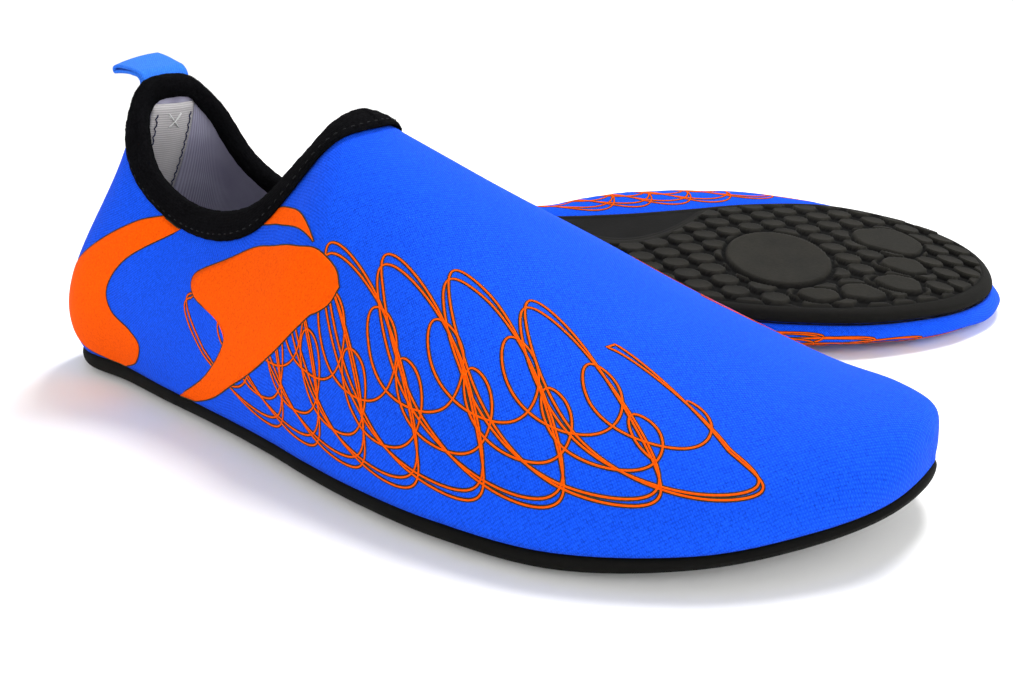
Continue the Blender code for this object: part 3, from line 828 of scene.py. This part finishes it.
def prints(shoe, body):
    """Ink on the cloth: a crescent, a leaf, and interlaced lines on both sides of the foot."""
    patches = ((CRESCENT_OUT, CRESCENT_IN), (LEAF_UP, LEAF_DOWN), (SLIVER_UP, SLIVER_DOWN))
    orange, dark = [], []
    for left, right in patches:
        left, right = curve(left, 60), curve(right, 60)
        orange.append(strip(shoe, left, right, 24, PATCH_LIFT))
        border = np.concatenate([left, right[::-1]])
        dark.append(ribbon(shoe, border, 2 * EDGE, PATCH_EDGE_LIFT))
    for line in looping_lines():
        orange.append(ribbon(shoe, line, LINE, LINE_LIFT))
        dark.append(ribbon(shoe, line, OUTLINE, OUTLINE_LIFT))
    for name, parts, finish in (("print_orange", orange, ORANGE_INK),
                                ("print_outline", dark, DARK_INK)):
        verts, faces = join(parts)
        made = piece(name, shoe, verts, faces, finish, np.zeros((len(verts), 2)))
        outward(made, shoe)
        solidify(made, INK, -1)
        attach(made, body)
        yield made


# ---------------------------------------------------------------- the collar

class Collar:
    """The rim's line and frames, and points beside it on the wall."""

    def __init__(self, shoe):
        self.shoe = shoe
        points, faces, _ = cloth_grid(shoe, 0.0, False)
        self.points = points
        self.faces = faces
        mesh = bpy.data.meshes.new("trial")
        mesh.from_pydata([tuple(p) for p in points], [], faces)
        self.normals = np.array([v.normal for v in mesh.vertices])
        centre = np.array(INSIDE)
        if ((points - centre) * self.normals).sum() < 0:
            self.normals = -self.normals
        bpy.data.meshes.remove(mesh)
        self.tree = BVHTree.FromPolygons([Vector(p) for p in points], faces)
        columns = np.concatenate([np.arange(2 * TOE - THROAT, 2 * TOE, 1 / FINE),
                                  np.arange(0, THROAT, 1 / FINE)])
        rim = shoe.wall(columns, 1.0)
        _, at, total = along_line(np.column_stack([rim, shoe.normal(columns, 1.0),
                                                   shoe.wall(columns, 0.93)]), 1.0, True)
        count = int(total)
        spots = at(np.arange(count) * total / count)
        self.rim = spots[:, :3]
        self.out = spots[:, 3:6]
        self.down = spots[:, 6:9] - self.rim
        self.rim = self.blur(self.rim, 2)
        self.out = unit(self.blur(self.out, 40))
        self.down = self.blur(unit(self.down), 40)
        tangent = unit(np.roll(self.rim, -3, 0) - np.roll(self.rim, 3, 0))
        for axis in (tangent, self.out, tangent):
            self.down -= axis * (self.down * axis).sum(1)[:, None]
        self.down = unit(self.blur(unit(self.down), 10))
        self.heel = int(np.argmin(np.abs(self.rim[:, 1]) + 1000 * (self.rim[:, 0] > 70)))

    def blur(self, rows, times):
        for _ in range(times):
            rows = 0.25 * np.roll(rows, 1, 0) + 0.5 * rows + 0.25 * np.roll(rows, -1, 0)
        return rows

    def on_wall(self, point, offset):
        """The wall's nearest spot to a point, moved out by an offset."""
        spot, _, face, _ = self.tree.find_nearest(Vector(point))
        corners = list(self.faces[face])
        gaps = np.linalg.norm(self.points[corners] - np.array(spot), axis=1) + 0.05
        normal = (self.normals[corners] / gaps[:, None]).sum(0)
        return np.array(spot) + normal / np.linalg.norm(normal) * offset

    def stretch(self, k):
        """The tape is sewn on pulled tight round the heel, and eases wider at the instep."""
        return 0.84 + 0.34 * float(smooth(55, 95, self.rim[k, 0]))

    def spot(self, k, along, offset):
        """A point down the wall from rim point k, and out of it."""
        point = self.rim[k] + self.down[k] * along
        if along <= 0:
            return point + self.out[k] * offset
        near = self.on_wall(point, offset)
        share = float(smooth(0, 3, along))
        return (point + self.out[k] * offset) * (1 - share) + near * share


def binding_section():
    """Half-turned U of the bulky tape: distance down the wall, and out of it."""
    outer = [(6.6, 0.45), (6.7, 1.0), (6.2, 1.5), (5.2, 1.8), (3.6, 1.95), (1.6, 1.85),
             (0.2, 1.55), (-0.9, 0.85), (-1.35, -0.2), (-1.5, -1.2), (-1.35, -2.2), (-0.9, -3.2),
             (0.2, -3.9), (1.6, -4.15), (3.2, -4.15), (4.6, -4.05), (5.5, -3.75), (5.8, -3.3)]
    inner = [(5.6, -2.95), (4.0, -2.75), (2.0, -2.7), (0.6, -2.5), (0.0, -1.2), (0.5, 0.1),
             (2.0, 0.25), (4.5, 0.3)]
    return outer + inner


def collar_binding(shoe, collar, body):
    """Tape folded over the collar's edge, with small puckers along its run."""
    section = binding_section()
    count = len(collar.rim)
    verts = np.empty((count, len(section), 3))
    for k in range(count):
        for n, (along, offset) in enumerate(section):
            verts[k, n] = collar.spot(k, along * (collar.stretch(k) if along > 0 else 1), offset)
    verts = collar.blur(verts, 3)
    middle = verts.mean(1, keepdims=True)
    way = np.arange(count)[:, None]
    pucker = 1 + 0.014 * np.sin(way * 1.05 + 0.8 * np.sin(way * 0.31))
    pucker = pucker + 0.008 * np.sin(way * 2.3 + 1)
    verts = middle + (verts - middle) * pucker[..., None]
    piece("binding_tape", shoe, verts.reshape(-1, 3), grid_faces(count, len(section), True, True),
          BLACK_ELASTIC, grid_uv(np.arange(count) * 1.0, arc_of(section)), body, "collar_binding")


def binding_stitches(shoe, collar, body):
    """The seam that holds the tape, seen on its outside."""
    line = np.array([collar.spot(k, 5.3 * collar.stretch(k), 1.55) for k in range(len(collar.rim))])
    line = collar.blur(line, 3)
    verts, faces = stitches(line, collar.out, 2.6, 2.1, 0.22, True)
    piece("binding_topstitch", shoe, verts, faces, BLACK_THREAD, None, body, "binding_stitching")


# ---------------------------------------------------------------- the heel's inside

def heel_point(collar, row, across, offset):
    """A point of the heel at a height on the wall, beside its middle and out of it."""
    middle = collar.shoe.wall(0.0, row)
    return collar.on_wall(middle + np.array([0, across, 0]), offset)


TAPE_HALF = 8.0
TAPE_DEPTH = -INNER_FACE - 0.15
TAPE_THICK = 0.6
TAPE_SEAM = 6.0         # each zigzag from the tape's middle
FORWARD = np.array([1.0, 0, 0])


def heel_tape(shoe, collar, body):
    """The tape over the heel's seam, inside, with its long edges pressed down."""
    rows = np.linspace(0.14, 0.93, 40)
    across = np.linspace(-TAPE_HALF, TAPE_HALF, 15)
    points = np.array([[heel_point(collar, row, a, TAPE_DEPTH - TAPE_THICK * (1 - (a / 8.4) ** 8))
                        for a in across] for row in rows])
    made = piece("seam_tape", shoe, points.reshape(-1, 3), grid_faces(len(rows), len(across)),
                 TAPE_GREY, grid_uv(rows * 95, across), None, "heel_tape")
    face = made.data.polygons[len(made.data.polygons) // 2]
    if face.normal.dot(shoe.matrix.to_3x3() @ Vector(FORWARD)) < 0:
        made.data.flip_normals()
    solidify(made, 0.45, -1)
    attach(made, body)


def tape_seams(shoe, collar, body):
    """A zigzag seam along each edge of the tape."""
    for name, seam in (("lateral", -TAPE_SEAM), ("medial", TAPE_SEAM)):
        parts = []
        zig = np.arange(0.16, 0.90, 0.0145)
        spots = [heel_point(collar, row, seam * shoe.side + (0.35 if k % 2 else -0.35),
                            TAPE_DEPTH - TAPE_THICK - 0.12) for k, row in enumerate(zig)]
        for first, second in zip(spots, spots[1:]):
            line = np.linspace(first, second, 5)
            inward = np.tile(FORWARD, (5, 1))
            line = line + inward * (0.22 * np.array([-1, 0.4, 0.8, 0.4, -1]))[:, None]
            parts.append(tube(line, 0.2 * np.array([0.7, 1, 1, 1, 0.7]), inward))
        verts, faces = join(parts)
        piece("tape_zigzag_" + name, shoe, verts, faces, NAVY_THREAD, None, body,
              "heel_tape_stitch_" + name)


def tab_cross(shoe, collar, body):
    """The cross of thread that holds the tab's ends, as it shows inside the heel."""
    parts = []
    inward = np.tile(FORWARD, (7, 1))
    for (row, a), (row2, b) in (((0.855, -1.7), (0.895, 1.7)), ((0.855, 1.7), (0.895, -1.7)),
                                ((0.857, -1.4), (0.90, 1.9)), ((0.857, 1.4), (0.90, -1.9))):
        way = np.linspace(0, 1, 7)
        spots = np.array([heel_point(collar, row + (row2 - row) * w, a + (b - a) * w,
                                     TAPE_DEPTH - TAPE_THICK - 0.2) for w in way])
        spots = spots + inward * (0.3 * np.sin(math.pi * way) - 0.15)[:, None]
        parts.append(tube(spots, 0.24, inward))
    verts, faces = join(parts)
    piece("tab_cross_stitch", shoe, verts, faces, WHITE_THREAD, None, body, "tab_bartack")


def heel_seam(shoe, collar, body):
    """Flat stitches across the seam that joins the upper at the heel."""
    rows = np.linspace(0.04, 0.86, 120)
    line = np.array([heel_point(collar, row, 0, 0.25) for row in rows])
    normals = shoe.normal(np.zeros(len(rows)), rows)
    parts = []
    _, at, total = along_line(np.column_stack([line, normals]), 1.0)
    side = np.array([0, 1.0, 0])
    for start in np.arange(0, total - 1.6, 1.25):
        spots = at(start + np.linspace(0, 1.0, 5))
        swing = np.linspace(-0.9, 0.9, 5)[:, None] * side
        dip = (0.25 * np.array([-1, 0.3, 0.6, 0.3, -1]))[:, None]
        parts.append(tube(spots[:, :3] + swing + spots[:, 3:] * dip, 0.17, spots[:, 3:]))
    verts, faces = join(parts)
    piece("heel_flatlock", shoe, verts, faces, BLUE_THREAD, None, body, "heel_seam_stitching")


# ---------------------------------------------------------------- the pull tab

STRAP_HALF = 8.2        # half of the strap's width
STRAP = 0.85
STRAP_REACH = 12.6      # from the pivot to the fold


def tab_frame(collar, rise, out, bend):
    """The tab's pivot over the rim and out of it, and the ways along and across the strap."""
    k = collar.heel
    normal, down = (unit(rows[k] * np.array([1, 0, 1])) for rows in (collar.out, collar.down))
    along = normal * math.sin(degrees(bend)) - down * math.cos(degrees(bend))
    across = np.array([0, 1.0, 0])
    across = unit(across - along * (across @ along))
    return collar.rim[k] - down * rise + normal * out, along, across


def pull_tab(shoe, collar, place_at, curl, lean, body, tab_body):
    """A strap folded double: sewn flat to the binding's outside, then out to its round fold."""
    pivot, along, across = tab_frame(collar, *place_at)
    k = collar.heel
    up = np.cross(along, across)
    up = up if up[2] * (1 if shoe.name == "right" else -1) > 0 else -up
    root = [collar.spot(k, 5.6, 2.75), collar.spot(k, 3.0, 2.8), collar.spot(k, 0.6, 2.75)]
    reach = [pivot + along * d + up * (curl * (d / STRAP_REACH) ** 2)
             for d in (1.4, 4.0, 7.4, 10.4, STRAP_REACH)]
    middle = curve(root + reach, 48)
    tangent = unit(np.gradient(middle, axis=0))
    sheet_up = unit(np.cross(tangent, across))
    if sheet_up[-1] @ up < 0:
        sheet_up = -sheet_up
    way = np.linspace(0, 1, len(middle))
    gap = 0.5 + 0.3 * smooth(0.45, 0.95, way)
    upper = middle + sheet_up * gap[:, None]
    lower = middle - sheet_up * gap[:, None]
    turn = np.linspace(90, -90, 15)[1:-1]
    end, far, high = middle[-1], tangent[-1], sheet_up[-1]
    fold = [end + far * gap[-1] * math.cos(degrees(a)) + high * gap[-1] * math.sin(degrees(a))
            for a in turn]
    path = np.concatenate([upper, fold, lower[::-1]])
    wide = np.linspace(-STRAP_HALF, STRAP_HALF, 23)
    twist = np.interp(np.arange(len(path)), [0, 30, 54, 78, len(path)], [0, 0.2, 1, 0.2, 0])
    bow = (wide / STRAP_HALF) ** 2
    verts = (path[:, None] + across[None, None] * wide[None, :, None]
             - high[None, None] * (0.7 * twist[:, None] * bow[None, :])[..., None]
             + high[None, None] * (lean * np.sqrt(twist)[:, None] * wide[None, :])[..., None]
             + far[None, None] * (0.5 * twist[:, None] * (wide / STRAP_HALF)[None, :])[..., None])
    made = piece("tab_strap", shoe, verts.reshape(-1, 3), grid_faces(len(path), len(wide)),
                 BLUE_TAPE, grid_uv(arc_of(path), wide), None, "pull_tab")
    solidify(made, STRAP, 0)
    start = place(shoe, [pivot - along * 0.5])[0]
    end = place(shoe, [pivot + along * 3.0])[0]
    tuple(end)
    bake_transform(made)
    return made


# ---------------------------------------------------------------- the bottom

POD = 9.5
GROOVE = 1.9            # depth between the pods
LATTICE = np.array([[0.33, -0.94], [1.31, -0.43]]) * POD
BALL_PAD = (186.0, -10.0, 18.5, 23.5)
TOE_PADS = ((231.0, 14.0, 13.0, 12.0), (231.0, -9.0, 8.0, 7.0), (225.0, -26.0, 8.0, 6.5),
            (210.0, -36.0, 7.5, 6.0), (195.0, -40.0, 7.0, 5.0))


def tread_depth(x, y, rim):
    """How deep each point of the sole lies under its pods' tops. rim is its way to the edge."""
    inverse = np.linalg.inv(LATTICE)
    cell = np.stack([x, y], -1) @ inverse
    base = np.floor(cell)
    best = np.full(x.shape, 1e9)
    lean = np.zeros(x.shape)
    for i in (-1, 0, 1, 2):
        for j in (-1, 0, 1, 2):
            centre = (base + np.array([i, j])) @ LATTICE
            wobble = 0.25 * np.sin(centre * 1.7 + centre[..., ::-1] * 0.9)
            dx = x - centre[..., 0] - wobble[..., 0]
            dy = y - centre[..., 1] - wobble[..., 1]
            gap = np.hypot(dx, dy)
            nearer = gap < best
            lean = np.where(nearer, 0.014 * dx + 0.095 * dy, lean)
            best = np.minimum(best, gap)
    pod = smooth(0.49 * POD, 0.53 * POD, best)
    top = 0.5 + lean + 0.002 * best ** 2
    depth = GROOVE * pod + (1 - pod) * np.clip(top, 0, 1.0)
    for cx, cy, rx, ry in (BALL_PAD, *TOE_PADS):
        turn = np.arctan2((y - cy) / ry, (x - cx) / rx)
        away = np.hypot((x - cx) / rx, (y - cy) / ry)
        wavy = 1 + (0.05 * np.sin(3 * turn + cx) + 0.035 * np.sin(5 * turn + cy)) * (rx < 15)
        reach = (away / wavy - 1) * min(rx, ry)
        moat = smooth(1.5, 0.6, reach) if rx < 15 else smooth(1.9, 0.9, reach)
        groove = smooth(-0.4, 0.3, reach)
        dish = 0.35 * smooth(1.0, 0.35, away) if rx > 15 else 0.15
        pad = (1 - groove) * dish + groove * GROOVE
        depth = depth * (1 - moat) + pad * moat
    line = -2.0 + 26.0 * ((x - 128.0) / 30.0) ** 2
    arch = y - line
    step = smooth(-1.2, 0.2, arch)
    panel = 0.95 + 0.25 * smooth(2.6, 3.4, arch) + 0.25 * smooth(5.4, 6.2, arch)
    depth = depth * (1 - step) + panel * step
    band = smooth(4.9, 4.3, rim)
    ledge = 1.15 + 0.25 * smooth(3.4, 4.3, rim)
    return depth * (1 - band) + ledge * band


def outline_distance(points, outline):
    """Distance from points to a closed outline, both in the plane."""
    best = np.full(len(points), 1e9)
    ends = np.roll(outline, -1, 0)
    for a, b in zip(outline, ends):
        ab = b - a
        t = np.clip(((points - a) @ ab) / max(ab @ ab, 1e-9), 0, 1)
        best = np.minimum(best, np.linalg.norm(points - a - t[:, None] * ab, axis=1))
    return best


def sole_outline(shoe, ribs):
    """The sole's outline through these ribs, as on a right foot, and the level way out of it."""
    whole = shoe.wall(np.concatenate([ribs, (2 * TOE - ribs)[::-1][1:-1]]), 0.0)
    whole = whole * np.array([1, shoe.side, 1])
    return whole, level_out(whole)


def ring(line, out, inset, heights):
    """An outline moved in by an inset, at other heights."""
    moved = line.copy()
    moved[:, :2] -= inset * out
    moved[:, 2] = heights
    return moved


def level_grid(edge, n, across):
    """Points straight across a ring, between its outer and inner sides of n points each."""
    inner = np.concatenate([edge[:1], edge[n:][::-1], edge[n - 1:n]])
    w = np.linspace(0, 1, across)[None, :, None]
    return edge[:n, None] * (1 - w) + inner[:, None] * w


def outsole(shoe, body):
    """Moulded sole: podded tread on a smooth rounded rim, and its wall up to the cloth."""
    ribs = np.concatenate([np.linspace(0, 2, 40), np.linspace(2, 13, 430)[1:],
                           np.linspace(13, 15, 60)[1:]])
    whole, out = sole_outline(shoe, ribs)
    n, across = len(ribs), 156
    edge = ring(whole, out, -0.3, ground(whole[:, 0]) + 3.2)
    grid = level_grid(edge, n, across)
    flat = grid.reshape(-1, 3)
    rim = outline_distance(flat[:, :2], edge[::3, :2])
    x, y = flat[:, 0], flat[:, 1]
    reach = 3.0 + 3.5 * smooth(205, 262, x)
    drop = 2.0 + 0.6 * smooth(205, 262, x)
    round_off = drop * (1 - np.sqrt(1 - (1 - np.clip(rim / reach, 0, 1)) ** 2))
    depth = tread_depth(x, y, rim)
    flat[:, 2] = ground(x) + np.minimum(depth + round_off, 4.2)
    low_ring = np.concatenate([grid[:, 0], grid[1:-1, -1][::-1]])
    rings = [low_ring]
    top = whole[:, 2]
    base = low_ring[:, 2]
    for share, inset in ((0.3, -0.42), (0.7, -0.45)):
        rings.append(ring(whole, out, inset, base + (top - 1.5 - base) * share))
    for inset, gap in ((-0.3, 1.5), (0.0, 0.85), (0.7, 0.6)):
        rings.append(ring(whole, out, inset, top - gap))
    parts = [(flat, grid_faces(n, across))]
    size = len(whole)
    wall = np.stack(rings, 1).reshape(-1, 3)
    parts.append((wall, grid_faces(size, len(rings), True)))
    cap = rings[-1]
    cap_faces = []
    for k in range(n - 1):
        quad = [k, k + 1, (size - k - 1) % size, (size - k) % size]
        cap_faces.append(tuple(dict.fromkeys(quad)))
    parts.append((cap, [face for face in cap_faces if len(face) > 2]))
    verts, faces = join(parts)
    verts = verts * np.array([1, shoe.side, 1])
    # painted shade: the wall and cap take a depth of 1.3 mm, so the rubber's painted groove shade
    # darkens the sole's side too
    uv = np.stack([verts[:, 0], np.full(len(verts), 1.3)], -1)
    uv[:len(depth), 1] = depth
    piece("sole_unit", shoe, verts, faces, RUBBER, uv * MM, body, "outsole")


def insole(shoe, body):
    """Foam footbed with a rolled edge, hollowed a little towards its middle."""
    ribs = np.linspace(0, TOE, 180)
    whole, out = sole_outline(shoe, ribs)
    n, across = len(ribs), 30
    low, high = 1.4, 3.6
    rings = [ring(whole, out, inset, whole[:, 2] + height) for inset, height in (
        (9.0, low), (6.4, low), (6.0, low + 0.5), (6.1, high - 0.5), (6.9, high - 0.1), (9.0, high))]
    under, top = (level_grid(edge, n, across) for edge in (rings[0], rings[-1]))
    top[..., 2] -= 0.7 * (np.sin(math.pi * np.linspace(0, 1, across))
                          * np.sin(math.pi * np.linspace(0, 1, n))[:, None])
    parts = [(np.stack(rings, 1).reshape(-1, 3), grid_faces(len(whole), len(rings), True))]
    parts += [(grid.reshape(-1, 3), grid_faces(n, across)) for grid in (under, top)]
    verts, faces = join(parts)
    verts = verts * np.array([1, shoe.side, 1])
    made = piece("footbed", shoe, verts, faces, INSOLE_FOAM, None, body, "insole")


# ---------------------------------------------------------------- both shoes

def dress(shoe, tab_place, curl, lean):
    """Every visible piece of one shoe. The board and its seam are the CAD's own."""
    body, tab_body = shoe.name + "_shoe", shoe.name + "_tab"
    collar = Collar(shoe)
    upper = cloth_layer("upper_cloth", shoe, 0.0, FABRIC, BLUE_KNIT, True, body, "upper")
    inks = list(prints(shoe, body))
    lining = cloth_layer("lining_cloth", shoe, -FABRIC - LAYER_GAP, LINING, GREY_JERSEY, False,
                         body, "lining")
    for make in (collar_binding, binding_stitches, heel_tape, tape_seams, tab_cross, heel_seam):
        make(shoe, collar, body)
    tab = pull_tab(shoe, collar, tab_place, curl, lean, body, tab_body)
    outsole(shoe, body)
    insole(shoe, body)
    for name, finish in (("strobel_board", BOARD_FELT), ("strobel_stitching", BLUE_THREAD)):
        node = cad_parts[shoe.name + "_" + name]
        node.data.materials.clear()
        node.data.materials.append(finish)


def floor_finish():
    """A pale floor whose wall glows softly, as a lit studio's background does."""
    made = Finish("visual_floor", 0.6, Specular_IOR_Level=0.1)
    wash = made.noise(made.space, 3.0, 2)
    made.colour(made.ramp(wash, [(0.3, (0.93, 0.93, 0.93)), (0.7, (0.96, 0.96, 0.955))]))
    glow = made.ranged(made.axis(made.space, "Z"), From_Max=0.5, To_Max=0.72)
    made.shader.inputs["Emission Color"].default_value = (1, 1, 1, 1)
    made.link(glow, made.shader.inputs["Emission Strength"])
    return made.made


# Name, place, size and power of each lamp
LAMPS = (("key", (0.32, 0.42, 1.1), 0.45, 15.0), ("fill", (0.6, -0.95, 0.6), 0.9, 4.0),
         ("side", (0.95, -0.1, 0.6), 0.8, 1.5))
CAMERA_TILT = 18        # degrees down
CAMERA_ROLL = -1.07
CAMERA_AWAY = 0.354     # metres from what it looks at
LENS = 35.43


def studio():
    """A round pale floor that curves up into a wall, far behind the object on every side."""
    profile = [(0.8, 0.0), (1.6, 0.0)]
    profile += [(1.6 + 0.9 * math.sin(degrees(a)), 0.9 - 0.9 * math.cos(degrees(a)))
                for a in range(10, 91, 10)]
    profile.append((2.5, 2.2))
    sides = 96
    bm = bmesh.new()
    rings = []
    for reach, height in profile:
        rings.append([bm.verts.new((reach * math.cos(2 * math.pi * k / sides),
                                    reach * math.sin(2 * math.pi * k / sides), height))
                      for k in range(sides)])
    centre = bm.verts.new((0, 0, 0))
    for k in range(sides):
        after = (k + 1) % sides
        bm.faces.new((centre, rings[0][k], rings[0][after]))
        for lower, upper in zip(rings, rings[1:]):
            bm.faces.new((lower[k], upper[k], upper[after], lower[after]))
    bmesh.ops.recalc_face_normals(bm, faces=bm.faces)
    mesh = bpy.data.meshes.new("floor")
    bm.to_mesh(mesh)
    bm.free()
    mesh.shade_smooth()
    floor = bpy.data.objects.new("floor", mesh)
    floor.location = (0, 0, cad_low[2] - 0.0002)
    mesh.materials.append(floor_finish())
    bpy.context.scene.collection.objects.link(floor)
    world = bpy.data.worlds.new("studio")
    bpy.context.scene.world = world
    world.use_nodes = True
    world.node_tree.nodes["Background"].inputs["Color"].default_value = (1, 1, 1, 1)
    world.node_tree.nodes["Background"].inputs["Strength"].default_value = 0.2
    for name, spot, size, power in LAMPS:
        data = bpy.data.lights.new(name, "AREA")
        data.shape = "DISK"
        data.size = size
        data.energy = power
        lamp = bpy.data.objects.new(name, data)
        lamp.location = spot
        lamp.rotation_euler = (-Vector(spot)).to_track_quat("-Z", "Y").to_euler()
        bpy.context.scene.collection.objects.link(lamp)
    bpy.context.scene.view_settings.view_transform = "Standard"


def camera(right_matrix):
    """The photograph's angle: 18 degrees down, level within about one degree."""
    lift = degrees(CAMERA_TILT)
    forward = Vector((0, math.cos(lift), -math.sin(lift)))
    target = (Vector((137, 0, -1)) + right_matrix.translation) * MM
    data = bpy.data.cameras.new("camera")
    data.sensor_width = 36
    data.lens = LENS
    data.clip_start = 0.01
    made = bpy.data.objects.new("camera", data)
    made.matrix_world = (Matrix.Translation(target - forward * CAMERA_AWAY)
                         @ forward.to_track_quat("-Z", "Y").to_matrix().to_4x4()
                         @ Matrix.Rotation(degrees(CAMERA_ROLL), 4, "Z"))
    bpy.context.scene.collection.objects.link(made)
    bpy.context.scene.camera = made


right_matrix, left_matrix = shoe_matrices()
BESIDE = 3.1            # the tab's root stands this far out of the rim
dress(Shoe("right", 1, right_matrix), (0.8, BESIDE, 80), -1.6, 0.21)
dress(Shoe("left", -1, left_matrix), (BESIDE + 0.4, 1.2, -3), 0.0, 0.0)
studio()
camera(right_matrix)
